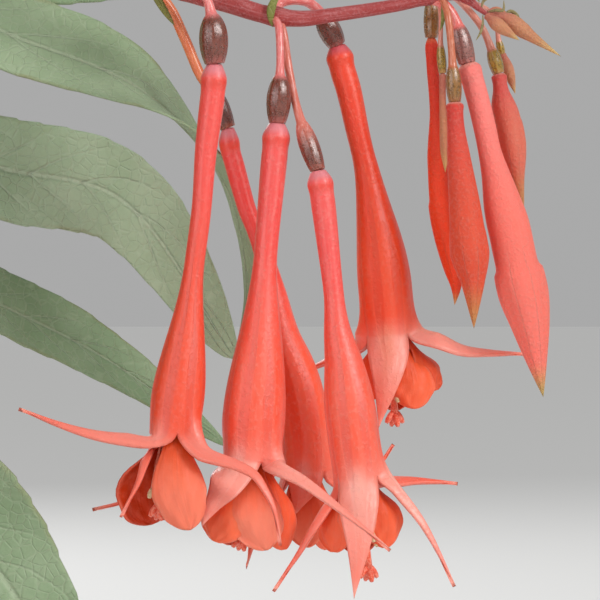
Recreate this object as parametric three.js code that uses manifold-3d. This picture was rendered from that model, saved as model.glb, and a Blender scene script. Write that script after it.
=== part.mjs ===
// Fuchsia hanging basket: a plain plastic bowl on three wires and a hook, filled with potting mix and
// planted with a long-tubed fuchsia. Millimetres, +Z up, origin where the hook bears on its support.
import * as THREE from 'three';
import { mergeVertices } from 'three/addons/utils/BufferGeometryUtils.js';
import Module from 'manifold-3d';

const wasm = await Module();
wasm.setup();

// ---------------------------------------------------------------- driving dimensions
const SEAT_GAP = 0.3;
const SHORTEST_EDGE = 0.12;
const SAME_POINT = 1e-3;

const HOOK_WIRE_RADIUS = 2.5;
const HOOK_BEND_RADIUS = 16.5;
const COLLAR = { top: -64, bottom: -82, radius: 7 };

const HANGER_DROP = 360;
const HANGER_WIRE_RADIUS = 1.2;
const HANGER_AZIMUTHS = [30, 150, 270];
const RIM_Z = -HANGER_DROP;

const BOWL_RADIUS = 127;
const BOWL_HEIGHT = 140;
const BOWL_BASE_RADIUS = 58;
const BOWL_WALL = 2.4;
const BOWL_SEGMENTS = 32;
const FLANGE_WIDTH = 8.5;
const FLANGE_THICKNESS = 3;
const LUG_HOLE_RADIUS = 2.2;
const LUG_CIRCLE_RADIUS = 122.6;
const DRAIN_HOLE_RADIUS = 4;
const DRAIN_CIRCLE_RADIUS = 36;
const DRAIN_COUNT = 5;

const SOIL_TOP = RIM_Z - 12;
const ROOT_DEPTH = 12;

const LEAF_THICKNESS = 0.8;
const SEPAL_THICKNESS = 1.3;
const PETAL_THICKNESS = 0.7;

// The shoot in flower at the front right: its places are (across, depth, up) from the middle of
// the hanging cluster, with depth growing away from the viewer in front.
const CLUSTER = new THREE.Vector3(217, -60, RIM_Z - 40);

const FLOWERING_STEM = {
  points: [
    [-179, 46, 16], [-172, 44, 62], [-140, 38, 101], [-95, 26, 106], [-52, 9, 80], [-27, 1, 52],
    [-16.5, 0, 45.4], [-5.1, 0, 42.3], [0, 0, 42.2], [4.5, 0, 42.7], [18.75, 0, 44.4],
    [25, 0, 44.4], [29, 0, 43.4],
  ],
  rootRadius: 2.4,
  tipRadius: 0.6,
};

const LEAFY_STEM = {
  points: [
    [-187, 30, 16], [-182, 29, 60], [-150, 26, 92], [-110, 23, 84], [-78, 20, 64], [-68, 20, 40],
    [-66, 20, 5], [-66, 20, -20], [-68, 20, -42],
  ],
  rootRadius: 2.4,
  tipRadius: 0.9,
};

// Each leaf: its midrib, the direction across it at the base and at the tip, and its half width.
const SHOOT_LEAVES = [
  {
    name: 'leaf_upper',
    midrib: [[-68, 20, 44], [-56, 16, 46], [-45, 14, 41], [-24, 12, 32], [-11.4, 12, 18], [-8, 12, 2], [-9.3, 13, -6]],
    across: [[0, 0.5, 0.85], [-0.3, 1, 0]],
    halfWidth: 7,
    widest: 0.36,
  },
  {
    name: 'leaf_middle',
    midrib: [[-66.5, 20, 20], [-58, 23, 24], [-46.5, 30, 20.6], [-28.5, 35, 16], [-10.2, 38, -9.5]],
    across: [[0, 0, 1], [0.2, 0, 1]],
    halfWidth: 8,
    widest: 0.55,
  },
  {
    name: 'leaf_lower',
    midrib: [[-66, 20, 2], [-60, 30, 5], [-48, 45, -0.8], [-31, 55, -10], [-12, 60, -24]],
    across: [[0, 0.5, 0.85], [0, 0.5, 0.85]],
    halfWidth: 5.8,
    widest: 0.5,
  },
  {
    name: 'leaf_front',
    midrib: [[-66.5, 20, -16], [-61, 8, -20], [-52, -3, -31], [-43, -6, -43], [-28, -6, -66]],
    across: [[0.3, 0, 1], [0.6, 0, 1]],
    halfWidth: 11,
    widest: 0.5,
  },
  {
    name: 'leaf_back',
    midrib: [[-68, 20, 47], [-60, 30, 54], [-42, 40, 55], [-20, 42, 54.5], [2, 42, 50]],
    across: [[0, 0, 1], [0, 0, 1]],
    halfWidth: 8,
    widest: 0.45,
  },
];

// Each open flower: pedicel and tube run downwards; sepals are listed from the mouth to the tip,
// petals by their shoulder and tip, each with its half width last.
const FLOWERS = [
  {
    name: 'flower_1',
    pedicel: [[-17.8, 0, 45.9], [-17.4, -5, 48.6], [-15, -8.6, 47.6], [-13.5, -9, 43.5]],
    ovaryRadius: 2.1,
    tube: [[-13.05, -9, 35.1], [-15, -9, 15], [-16.95, -9, -3], [-18.45, -9, -19.8]],
    collar: 1.9, waist: 1.5, belly: 3.85, mouth: 3.7,
    sepals: [
      [[-24.9, -10, -21.7], [-30.6, -10.5, -20.1], [-36.5, -11, -18.6], [-42.1, -11, -16.1], 1.9],
      [[-13.5, -13, -22.4], [-9.2, -14.6, -24.8], [-3.9, -16.2, -31], [-2.9, -16.4, -36.4], 1.5],
      [[-22.6, -3, -22.5], [-27, 0, -28], [-31.2, 1, -31.2], 1.4],
      [[-20.4, -13.3, -22.4], [-23.4, -14, -26.5], [-27.2, -13.5, -32.6], 1.1],
    ],
    petals: [
      [[-22.6, -9, -27.5], [-23.2, -8.5, -33.4], 3.4],
      [[-17, -12.7, -27], [-16.4, -11.8, -34.3], 3.9],
      [[-15, -6.6, -27], [-14.6, -6.6, -31.5], 2.6],
      [[-19.5, -5, -27.5], [-20, -4.4, -33], 3.2],
    ],
  },
  {
    name: 'flower_2',
    pedicel: [[-4.2, 0, 42.2], [-3.9, -3, 40.5], [-3.4, -4, 37], [-3, -4, 33.7]],
    ovaryRadius: 1.7,
    tube: [[-3.4, -4, 26.2], [-4.6, -4, 11], [-6.2, -4, -8], [-7.5, -4, -24]],
    collar: 2.1, waist: 1.8, belly: 4.55, mouth: 4.1,
    sepals: [
      [[-11.4, -9.2, -26.6], [-13.2, -10.6, -30.3], [-14.8, -11, -34], 1.9],
      [[-3.7, -9, -24.8], [-0.3, -11.5, -27.3], [6.5, -14.8, -32.4], [13.8, -17, -37.7], 1.4],
      [[-6.8, 1.5, -28], [-6.8, 2.5, -34], [-8.2, 0.5, -40.5], 1.5],
      [[-9.5, 2.5, -28], [-11, 4, -32], [-10.5, 4, -35.5], 1.5],
    ],
    petals: [
      [[-11.3, -4.8, -31], [-11.6, -4.5, -36.9], 3.6],
      [[-6.9, -8.8, -31], [-6.3, -8, -37.5], 3.6],
      [[-3.2, -4.4, -31], [-3.1, -4, -37.3], 2.8],
      [[-7.4, -0.3, -31], [-8, -0.3, -36.5], 3.2],
    ],
  },
  {
    name: 'flower_3',
    pedicel: [[-27, 0.5, 51], [-24.5, 4, 48], [-20, 6, 44.5], [-17.2, 6, 39], [-14.6, 6, 33.5], [-12.4, 6, 30.6]],
    ovaryRadius: 1.6,
    tube: [[-10.65, 6, 25.2], [-9.3, 6, 16.4], [-4.4, 6, 0.3], [-1.2, 6, -10.5], [0.9, 6, -25.5]],
    collar: 1.9, waist: 1.65, belly: 3.8, mouth: 3.7,
    sepals: [
      [[-1, 1.8, -27.5], [-0.9, 0.9, -30], [-1.1, 0.6, -32.5], 1.9],
      [[6, 8, -26.6], [9.6, 9, -26.2], [12.2, 9, -23.6], [13.8, 9, -21.5], 1.1],
      [[1.2, 11.5, -28], [1.5, 13, -31.5], [1.5, 13, -35], 1.6],
      [[-3.4, 9.5, -28], [-5, 11.5, -31], [-5.6, 12, -34], 1.5],
    ],
    petals: [
      [[4.2, 5.2, -32], [4.5, 5.4, -37.8], 2.8],
      [[0.5, 2.4, -32], [0.8, 3, -36.5], 2.8],
      [[-2.6, 6.2, -32], [-2, 6.2, -36.5], 2.6],
      [[1.2, 9.8, -32], [1.2, 9.4, -36.5], 3],
    ],
  },
  {
    name: 'flower_4',
    pedicel: [[-2.9, 0, 42.2], [-2.6, -4, 39.5], [-1.6, -6, 33], [0, -6, 26.7]],
    ovaryRadius: 1.65,
    tube: [[2.7, -6, 19.2], [4, -6, 10.5], [5.1, -6, 0.3], [6.6, -6, -11.4], [8.7, -6, -26.4]],
    collar: 1.95, waist: 1.58, belly: 3.7, mouth: 3.6,
    sepals: [
      [[8.6, -10.3, -28.6], [8.7, -11.4, -34.4], [8.1, -11.6, -45], 3.4],
      [[12.8, -7, -27], [16.5, -7.5, -30.8], [20.2, -8, -36.8], [23.4, -8, -43], 1.6],
      [[12.6, -2.4, -26.2], [17, -0.4, -26.5], [23.7, 1, -27.3], 1.4],
      [[3.9, -8, -29.6], [1, -8.4, -35], [-0.6, -8.6, -38], [-4.2, -8.6, -43.6], 1.4],
    ],
    petals: [
      [[12.2, -5.6, -32.5], [12.6, -5.4, -37.5], 2.6],
      [[5.2, -6, -32.5], [5, -6, -37.9], 2.8],
      [[8.6, -2.2, -32.5], [8.6, -2.4, -38], 3.2],
      [[9.4, -9, -32], [9.8, -8.4, -37], 2.6],
    ],
  },
  {
    name: 'flower_5',
    pedicel: [[-3.8, 0, 42.5], [-2.9, 1.5, 44.8], [-0.5, 1.6, 45.4], [2.4, 3.4, 44.6], [3.9, 6, 42.4]],
    ovaryRadius: 1.65,
    tube: [[5.85, 7, 38], [7.4, 7, 30.6], [9.9, 7, 19.2], [11.6, 7, 10.5], [13.35, 7, -5.1]],
    collar: 2.05, waist: 1.65, belly: 4.15, mouth: 3.85,
    sepals: [
      [[13.2, 2.6, -7.2], [12.9, 1.3, -12], [11.9, 1, -19.2], 3.6],
      [[18.8, 6.4, -5.2], [23, 6.2, -6.9], [28.6, 6, -7.8], [33.9, 6, -8.1], 1.9],
      [[8.4, 9.5, -6.2], [3.9, 11.5, -8.7], [-1.5, 12.5, -11.5], 1.5],
      [[13.8, 12, -9], [14.3, 13, -11.5], [14.5, 13, -14.5], 1.6],
    ],
    petals: [
      [[17.6, 4.9, -11.5], [18.2, 5.2, -16.2], 2.7],
      [[18.8, 9, -10], [20.2, 9.4, -13.3], 2.4],
      [[10.2, 6.6, -11], [11, 6.8, -15.5], 2.4],
      [[14, 10.8, -11.5], [14.4, 10.4, -16.5], 2.8],
    ],
  },
];

// Each bud: pedicel, ovary and closed flower in one, with its radii and where along the closed
// flower it swells and where its sepals start to narrow to the tip.
const BUDS = [
  {
    name: 'bud_1',
    pedicel: [[18.6, 0.2, 44.4], [19.2, 4, 44.6], [19.6, 6, 43.4]],
    ovaryRadius: 1.2,
    body: [[19.8, 6, 39.3], [20.1, 6, 30], [20.7, 6, 19.5], [21.9, 6, 9], [23.5, 6, -0.9]],
    waist: 0.9, belly: 1.65, rise: [0.35, 0.68], shoulder: 0.74,
  },
  {
    name: 'bud_2',
    pedicel: [[21.6, 0, 44.5], [22.4, -2.6, 42], [22.8, -3, 38.5], [23, -3, 35]],
    ovaryRadius: 1.1,
    body: [[23.4, -3, 29.7], [24, -3, 19.2], [24.8, -3, 10.5], [25.4, -3, 3.5], [25.9, -3, -4.5]],
    waist: 1.2, belly: 3, rise: [0.1, 0.56], shoulder: 0.64,
  },
  {
    name: 'bud_3',
    pedicel: [[22.2, 0, 44.5], [23.2, 0.6, 43.6], [23.9, 0.6, 42], [24.3, 0.6, 40.6]],
    ovaryRadius: 1.55,
    body: [[25.4, 0.6, 35.2], [26.7, 0.6, 27.8], [29.5, 0.6, 16.4], [32.2, 0.6, 4.8], [34, 0.6, -2], [36.5, 0.6, -14.4]],
    waist: 1.6, belly: 3.9, rise: [0.26, 0.66], shoulder: 0.71,
  },
  {
    name: 'bud_4',
    pedicel: [[24.6, 0, 44.4], [26, 4, 43.2], [27.6, 5, 40.6], [28.5, 5, 37.8]],
    ovaryRadius: 1.05,
    body: [[29.6, 5, 33.8], [30.3, 5, 29.3], [31.4, 5, 24.8], [32.3, 5, 19.5], [33.6, 5, 13.2]],
    waist: 1.05, belly: 2.3, rise: [0.05, 0.55], shoulder: 0.62,
  },
  {
    name: 'bud_5',
    pedicel: [[20.8, 0, 44.7], [21, 2, 44], [21, 2.4, 41.5], [21.1, 2.4, 38.4]],
    ovaryRadius: 0.7,
    body: [[21.2, 2.4, 34.2], [21.4, 2.4, 30], [21.6, 2.4, 25], [21.6, 2.4, 19]],
    waist: 0.5, belly: 0.6, rise: [0.3, 0.7], shoulder: 0.85,
  },
  {
    name: 'bud_6',
    pedicel: [[26.4, 0, 44.3], [28.4, 4, 43.6], [29.7, 7, 41], [30.1, 8.2, 38.8]],
    ovaryRadius: 0.55,
    body: [[30.4, 8.4, 36.8], [31, 8.4, 35], [31.8, 8.4, 33], [32.4, 8.4, 30.9]],
    waist: 0.5, belly: 0.7, rise: [0.1, 0.5], shoulder: 0.6,
  },
];

const TERMINAL_BUDS = [
  { body: [[28.6, 0, 43.4], [31.5, 0, 41.8], [34.6, 0, 39.8], [39.2, 0, 36.5]], waist: 0.7, belly: 1.35 },
  { body: [[28, -0.6, 43.4], [29.2, -1.6, 41.6], [30.6, -2, 40.4], [32.8, -2.2, 38.8]], waist: 0.5, belly: 1.1 },
];

// The rest of the plant: each shoot rises from the mix at `root` from the middle, arches over and
// ends `reach` out and `rise` above the rim, all at one azimuth, with whorls of leaves on its way.
const TIERS = [
  {
    root: 20, reach: 128, rise: 142, arch: 218,
    azimuths: [-10, 62, 118, 184, 240, 300],
    whorls: [0.3, 0.5, 0.68],
  },
  {
    root: 46, reach: 114, rise: 44, arch: 122,
    azimuths: [-42, 12, 45],
    whorls: [0.4, 0.64],
  },
  {
    root: 44, reach: 205, rise: 40, arch: 142,
    azimuths: [86, 132, 174, 212],
    whorls: [0.32, 0.52, 0.7],
  },
  {
    root: 70, reach: 226, rise: -66, arch: 64,
    azimuths: [64, 108, 156, 198, 240, 286],
    whorls: [0.42, 0.66],
  },
];
const LEAVES_PER_WHORL = 3;
const RACEME_START = 0.8;
const RACEME_STEP = 0.06;
const RACEME_FLOWERS = 4;

const COLOURS = {
  bowl: new THREE.MeshStandardMaterial({ color: 0x9c5a3c, roughness: 0.6, metalness: 0 }),
  wire: new THREE.MeshStandardMaterial({ color: 0x9fa3a6, roughness: 0.35, metalness: 1 }),
  soil: new THREE.MeshStandardMaterial({ color: 0x33241a, roughness: 0.95, metalness: 0 }),
  leaf: new THREE.MeshStandardMaterial({ color: 0x7d9a72, roughness: 0.6, metalness: 0 }),
  stem: new THREE.MeshStandardMaterial({ color: 0xa8525a, roughness: 0.6, metalness: 0 }),
  ovary: new THREE.MeshStandardMaterial({ color: 0x6b3a30, roughness: 0.3, metalness: 0 }),
  calyx: new THREE.MeshStandardMaterial({ color: 0xf0563f, roughness: 0.5, metalness: 0 }),
  petal: new THREE.MeshStandardMaterial({ color: 0xf04a22, roughness: 0.5, metalness: 0 }),
  stamen: new THREE.MeshStandardMaterial({ color: 0xe8c8a0, roughness: 0.6, metalness: 0 }),
  bud: new THREE.MeshStandardMaterial({ color: 0xe06a4a, roughness: 0.55, metalness: 0 }),
};

// ---------------------------------------------------------------- small mathematics
const UP = new THREE.Vector3(0, 0, 1);
const DEPTH = new THREE.Vector3(0, 1, 0);

const clamp01 = (value) => Math.min(1, Math.max(0, value));

/** A smooth step from 0 at `low` to 1 at `high`. */
function smooth(low, high, value) {
  const part = clamp01((value - low) / (high - low));
  return part * part * (3 - 2 * part);
}

/** A repeatable number from 0 to 1 for one item of one shoot. */
function wobble(shoot, item) {
  const wave = Math.sin(shoot * 12.9898 + item * 78.233) * 43758.5453;
  return wave - Math.floor(wave);
}

/** A place on the flowering shoot, in the basket's own frame. */
function at([across, depth, up]) {
  return new THREE.Vector3(across, depth, up).add(CLUSTER);
}

/** A smooth curve through places on the flowering shoot. */
function routeOf(places) {
  return new THREE.CatmullRomCurve3(places.map(at), false, 'centripetal');
}

/** A point at a radius and azimuth in degrees, at a height. */
function polar(radius, azimuth, height) {
  const angle = THREE.MathUtils.degToRad(azimuth);
  return new THREE.Vector3(radius * Math.cos(angle), radius * Math.sin(angle), height);
}

/** Evenly spaced numbers from 0 to 1, `count` steps. */
function steps(count) {
  return Array.from({ length: count + 1 }, (_, index) => index / count);
}

// ---------------------------------------------------------------- closed solids
/** The solid of a closed three.js geometry, turned right side out. */
function solidOf(geometry) {
  const bare = geometry.clone();
  bare.deleteAttribute('normal');
  bare.deleteAttribute('uv');
  const merged = mergeVertices(bare, SAME_POINT);
  const triVerts = new Uint32Array(merged.index.array);
  const vertProperties = new Float32Array(merged.attributes.position.array);
  const solid = new wasm.Manifold(new wasm.Mesh({ numProp: 3, vertProperties, triVerts }));
  if (solid.volume() > 0) return solid;
  for (let first = 0; first < triVerts.length; first += 3) {
    [triVerts[first], triVerts[first + 1]] = [triVerts[first + 1], triVerts[first]];
  }
  return new wasm.Manifold(new wasm.Mesh({ numProp: 3, vertProperties, triVerts }));
}

/** A closed skin from a start point, through rings of equal size, to an end point. */
function loft(startPole, rings, endPole) {
  const sides = rings[0].length;
  const points = [startPole, ...rings.flat(), endPole];
  const last = points.length - 1;
  const faces = [];
  for (let side = 0; side < sides; side += 1) {
    const next = (side + 1) % sides;
    faces.push(0, 1 + next, 1 + side);
    for (let low = 1; low + sides < last; low += sides) {
      faces.push(low + side, low + next, low + sides + next);
      faces.push(low + side, low + sides + next, low + sides + side);
    }
    faces.push(last - sides + side, last - sides + next, last);
  }
  const geometry = new THREE.BufferGeometry().setFromPoints(points);
  geometry.setIndex(faces);
  return solidOf(geometry);
}

/** A round limb along a curve, with its radius a function of the way along. */
function limb(curve, stations, radiusAt, { sides = 8, aside = DEPTH, grow = 0 } = {}) {
  const rings = stations.map((station) => {
    const centre = curve.getPoint(station);
    const along = curve.getTangent(station);
    const first = aside.clone().projectOnPlane(along).normalize();
    const second = along.clone().cross(first);
    return Array.from({ length: sides }, (_, side) => {
      const angle = (2 * Math.PI * side) / sides;
      const radius = radiusAt(station) + grow;
      return centre.clone()
        .addScaledVector(first, radius * Math.cos(angle))
        .addScaledVector(second, radius * Math.sin(angle));
    });
  });
  const start = curve.getPoint(stations[0]).addScaledVector(curve.getTangent(stations[0]), -grow);
  const end = curve.getPoint(stations.at(-1)).addScaledVector(curve.getTangent(stations.at(-1)), grow);
  return loft(start, rings, end);
}

/** A point `distance` past `to`, seen from `from`. */
function beyond(from, to, distance) {
  return to.clone().add(to.clone().sub(from).setLength(distance));
}

/** A thin blade along a curve: four-sided sections, wide one way and thin the other. */
function blade(curve, stations, halfWidthAt, acrossAt, thickness, grow) {
  const rings = stations.map((station) => {
    const centre = curve.getPoint(station);
    const along = curve.getTangent(station);
    const side = acrossAt(station).clone().projectOnPlane(along).normalize();
    const face = along.clone().cross(side);
    const wide = halfWidthAt(station) + grow;
    const thin = thickness / 2 + grow;
    return [[side, wide], [face, thin], [side, -wide], [face, -thin]].map(
      ([direction, distance]) => centre.clone().addScaledVector(direction, distance),
    );
  });
  const start = beyond(curve.getPoint(stations[0]), curve.getPoint(0), grow);
  const end = beyond(curve.getPoint(stations.at(-1)), curve.getPoint(1), grow);
  return loft(start, rings, end);
}

/** A round rod along points, one step to each stretch between two points. */
function rod(points, radius, sides) {
  const curve = new THREE.CatmullRomCurve3(points, false, 'centripetal');
  curve.getUtoTmapping = (way) => way;
  const section = new THREE.Shape();
  for (let side = 0; side < sides; side += 1) {
    const angle = (2 * Math.PI * side) / sides;
    const corner = [radius * Math.cos(angle), radius * Math.sin(angle)];
    if (side === 0) section.moveTo(...corner);
    else section.lineTo(...corner);
  }
  return solidOf(new THREE.ExtrudeGeometry(section, { steps: points.length - 1, extrudePath: curve }));
}

/** A solid of revolution about the vertical axis, from (radius, height) pairs. */
function turned(profile, segments) {
  const outline = profile.map(([radius, height]) => new THREE.Vector2(radius, height));
  return solidOf(new THREE.LatheGeometry(outline, segments).rotateX(Math.PI / 2));
}

/** An upright cylinder between two heights. */
function upright(x, y, low, high, radius, sides) {
  const geometry = new THREE.CylinderGeometry(radius, radius, high - low, sides);
  return solidOf(geometry.rotateX(Math.PI / 2).translate(x, y, (low + high) / 2));
}

function union(solids) {
  return wasm.Manifold.union(solids);
}

// ---------------------------------------------------------------- placing the pieces
const basket = new THREE.Group();
basket.name = 'fuchsia_hanging_basket';
const placed = [];

function boxesTouch(first, second) {
  return [0, 1, 2].every((axis) => first.min[axis] <= second.max[axis] && second.min[axis] <= first.max[axis]);
}

/** What is left of a solid clear of some grown solids. */
function clearOf(solid, grownSolids) {
  const box = solid.boundingBox();
  const near = grownSolids.filter((grown) => boxesTouch(box, grown.boundingBox()));
  return near.length ? solid.subtract(union(near)) : solid;
}

function largestBody(solid) {
  return solid.decompose().sort((first, second) => second.volume() - first.volume())[0];
}

function geometryOf(solid) {
  const { vertProperties, triVerts } = solid.getMesh();
  const geometry = new THREE.BufferGeometry();
  geometry.setAttribute('position', new THREE.BufferAttribute(new Float32Array(vertProperties), 3));
  geometry.setIndex(new THREE.BufferAttribute(new Uint32Array(triVerts), 1));
  return geometry;
}

/** Adds a solid as one body: crumbs go, and points that all but touch become one. */
function addMesh(name, solid, material) {
  const tidied = largestBody(solid).simplify(SHORTEST_EDGE);
  const geometry = geometryOf(largestBody(solidOf(geometryOf(tidied))));
  geometry.computeVertexNormals();
  const mesh = new THREE.Mesh(geometry, material);
  mesh.name = name;
  basket.add(mesh);
}

/** Places a piece that is built at its own size and, for its later neighbours, a gap larger. */
function place(name, build, material) {
  addMesh(name, clearOf(build(0), placed), material);
  placed.push(build(SEAT_GAP));
}

// ---------------------------------------------------------------- the holder
const flangeInner = BOWL_RADIUS - FLANGE_WIDTH;

function bowl(grow) {
  const base = RIM_Z - BOWL_HEIGHT;
  const outside = [
    [BOWL_BASE_RADIUS, base], [BOWL_BASE_RADIUS + 9, base + 4], [89, base + 36], [106, base + 72],
    [115, base + 106], [flangeInner + 0.4, RIM_Z - FLANGE_THICKNESS],
    [BOWL_RADIUS, RIM_Z - FLANGE_THICKNESS], [BOWL_RADIUS, RIM_Z],
  ];
  const inside = [
    [flangeInner + 0.4 - BOWL_WALL, RIM_Z], [115 - BOWL_WALL, base + 106], [106 - BOWL_WALL, base + 72],
    [89 - BOWL_WALL, base + 37], [BOWL_BASE_RADIUS + 7, base + 4 + BOWL_WALL],
    [BOWL_BASE_RADIUS, base + BOWL_WALL],
  ];
  if (grow > 0) {
    return turned([[0, base - grow], ...outside.map(([r, z]) => [r + grow, z]), [0, RIM_Z]], BOWL_SEGMENTS)
      .subtract(turned([[0, base + BOWL_WALL + grow], ...inside.toReversed().map(([r, z]) => [r - grow, z]),
        [0, RIM_Z + 1]], BOWL_SEGMENTS));
  }
  const shell = turned([[0, base], ...outside, ...inside, [0, base + BOWL_WALL]], BOWL_SEGMENTS);
  const holes = HANGER_AZIMUTHS.map((azimuth) => {
    const centre = polar(LUG_CIRCLE_RADIUS, azimuth, 0);
    return upright(centre.x, centre.y, RIM_Z - 10, RIM_Z + 5, LUG_HOLE_RADIUS, 10);
  });
  for (let drain = 0; drain < DRAIN_COUNT; drain += 1) {
    const centre = polar(DRAIN_CIRCLE_RADIUS, (360 * drain) / DRAIN_COUNT, 0);
    holes.push(upright(centre.x, centre.y, base - 5, base + 10, DRAIN_HOLE_RADIUS, 12));
  }
  return shell.subtract(union(holes));
}

/** A wire from the collar to a hole in the rim, through it and bent along under the flange. */
function hangerWire(azimuth, grow) {
  const aside = polar(1, azimuth + 90, 0);
  const foot = RIM_Z - FLANGE_THICKNESS - SEAT_GAP - HANGER_WIRE_RADIUS;
  const rim = (sideways, height) => polar(LUG_CIRCLE_RADIUS, azimuth, height).addScaledVector(aside, sideways);
  const points = [
    polar(3.6, azimuth, COLLAR.bottom + 6), polar(3.8, azimuth, COLLAR.bottom),
    polar(5.5, azimuth, COLLAR.bottom - 8), polar(60, azimuth, -214),
    polar(LUG_CIRCLE_RADIUS - 2.5, azimuth, RIM_Z + 14), rim(0, RIM_Z + 6), rim(0, foot + 3),
    rim(0.8, foot + 0.9), rim(2.8, foot), rim(7, foot),
  ];
  return rod(points, HANGER_WIRE_RADIUS + grow, 6);
}

/** The hook: a bend over the support and a shank down to the collar. */
function hook(grow) {
  const centre = -(HOOK_BEND_RADIUS - HOOK_WIRE_RADIUS);
  const bend = [];
  for (let angle = -45; angle <= 180; angle += 15) {
    const turn = THREE.MathUtils.degToRad(angle);
    bend.push(new THREE.Vector3(HOOK_BEND_RADIUS * Math.cos(turn), 0, centre + HOOK_BEND_RADIUS * Math.sin(turn)));
  }
  const shank = [[-15.6, centre - 8], [-10, centre - 18], [-3, centre - 25], [0, centre - 32],
    [0, COLLAR.top], [0, COLLAR.bottom + 4]];
  const points = [...bend, ...shank.map(([x, z]) => new THREE.Vector3(x, 0, z))];
  return rod(points, HOOK_WIRE_RADIUS + grow, 8);
}

function collar(grow) {
  return upright(0, 0, COLLAR.bottom - grow, COLLAR.top + grow, COLLAR.radius + grow, 20);
}

place('hanging_bowl', bowl, COLOURS.bowl);
place('hanging_hook', hook, COLOURS.wire);
HANGER_AZIMUTHS.forEach((azimuth, index) => {
  place(`hanger_wire_${index + 1}`, (grow) => hangerWire(azimuth, grow), COLOURS.wire);
});
place('hanger_collar', collar, COLOURS.wire);

// ---------------------------------------------------------------- the shoot in flower
function taperedStem({ points, rootRadius, tipRadius }, grow) {
  const curve = routeOf(points);
  const radiusAt = (station) => rootRadius + (tipRadius - rootRadius) * station;
  return limb(curve, steps(points.length * 2 - 2), radiusAt, { sides: 6, grow });
}

/** The half width of a leaf that is `halfWidth` wide at `widest`, after a short stalk. */
function leafWidth(station, halfWidth, widest) {
  const fall = (0.75 * (1 - widest)) / widest;
  const shape = (way) => way ** 0.75 * (1 - way) ** fall;
  return Math.max(0.5, (halfWidth * shape(station)) / shape(widest)) * smooth(-0.04, 0.12, station);
}

function shootLeaf({ midrib, across, halfWidth, widest }, grow) {
  const [base, tip] = across.map((direction) => new THREE.Vector3(...direction).normalize());
  return blade(
    routeOf(midrib),
    [0.02, 0.12, 0.28, 0.44, 0.6, 0.76, 0.92],
    (station) => leafWidth(station, halfWidth, widest),
    (station) => base.clone().lerp(tip, smooth(0.35, 0.7, station)),
    LEAF_THICKNESS,
    grow,
  );
}

/** The radius of a pedicel that ends in an ovary. */
function ovaryRadiusAt(station, split, stalkRadius, ovaryRadius) {
  if (station <= split) return stalkRadius;
  const part = (station - split) / (1 - split);
  return stalkRadius + (ovaryRadius - stalkRadius) * Math.sin(Math.PI * (0.08 + 0.84 * part)) ** 0.6;
}

/** A pedicel and its ovary, down to the top of the flower. */
function ovary({ pedicel, ovaryRadius }, flowerTop, grow) {
  const curve = routeOf([...pedicel, flowerTop]);
  const split = (pedicel.length - 1) / pedicel.length;
  const swelling = [0, 0.15, 0.5, 0.85, 1].map((part) => split + (1 - split) * part);
  const stations = [0, split / 2, ...swelling];
  const radiusAt = (station) => ovaryRadiusAt(station, split, 0.65, ovaryRadius);
  return limb(curve, stations, radiusAt, { sides: 6, grow });
}

function tubeRadius(station, { collar: top, waist, belly, mouth }) {
  const neck = 0.75 + 0.25 * smooth(0, 0.05, station);
  const narrowing = top + (waist - top) * smooth(0.05, 0.4, station);
  const flare = (belly - waist) * smooth(0.4, 0.86, station);
  return (narrowing + flare) * neck + (mouth - belly) * smooth(0.86, 1, station);
}

/** The floral tube with its four sepals. */
function calyx(flower, grow) {
  const curve = routeOf(flower.tube);
  const mouth = curve.getPoint(1);
  const stations = [0, 0.05, 0.25, 0.45, 0.62, 0.75, 0.87, 1];
  const tube = limb(curve, stations, (station) => tubeRadius(station, flower), { grow });
  const sepals = flower.sepals.map((sepal) => {
    const places = sepal.slice(0, -1).map(at);
    const outward = places[0].clone().sub(mouth).projectOnPlane(UP).normalize();
    const root = mouth.clone().addScaledVector(outward, flower.mouth - 0.9).addScaledVector(UP, 1.4);
    const route = new THREE.CatmullRomCurve3([root, ...places], false, 'centripetal');
    const across = UP.clone().cross(outward);
    const halfWidthAt = (station) => sepal.at(-1) * (1 - station) ** 0.7 * (0.75 + 0.5 * station);
    return blade(route, [0.01, 0.3, 0.68], halfWidthAt, () => across, SEPAL_THICKNESS, grow);
  });
  return union([tube, ...sepals]);
}

/** The four petals on the short ring that joins them inside the tube's mouth. */
function corolla(flower, grow) {
  const tube = routeOf(flower.tube);
  const mouth = tube.getPoint(1);
  const ring = new THREE.LineCurve3(
    mouth.clone().addScaledVector(UP, 3),
    mouth.clone().addScaledVector(UP, -2),
  );
  const joined = limb(ring, [0, 1], () => 2.2, { sides: 6, grow });
  const petals = flower.petals.map(([shoulder, tip, halfWidth]) => {
    const outward = at(shoulder).sub(mouth).projectOnPlane(UP).normalize();
    const root = mouth.clone().addScaledVector(outward, 0.9).addScaledVector(UP, -0.4);
    const route = new THREE.CatmullRomCurve3([root, at(shoulder), at(tip)], false, 'centripetal');
    const across = UP.clone().cross(outward);
    const halfWidthAt = (station) => halfWidth * Math.sin(Math.PI * (0.12 + 0.8 * station)) ** 0.7;
    return blade(route, [0.02, 0.45, 0.85], halfWidthAt, () => across, PETAL_THICKNESS, grow);
  });
  return union([joined, ...petals]);
}

/** The stamens and style, as one slim bundle through the corolla. */
function stamens(flower, grow) {
  const mouth = routeOf(flower.tube).getPoint(1);
  const line = new THREE.LineCurve3(mouth.clone().addScaledVector(UP, 1.5), mouth.clone().addScaledVector(UP, -12));
  return limb(line, [0, 0.6, 1], (station) => 0.5 + 0.4 * smooth(0.5, 0.9, station), { sides: 4, grow });
}

function closedFlowerRadius(station, { waist, belly, rise, shoulder }) {
  const swelling = waist + (belly - waist) * smooth(rise[0], rise[1], station);
  const narrowing = station < shoulder ? 1 : ((1 - station) / (1 - shoulder)) ** 0.9;
  return swelling * narrowing;
}

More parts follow.
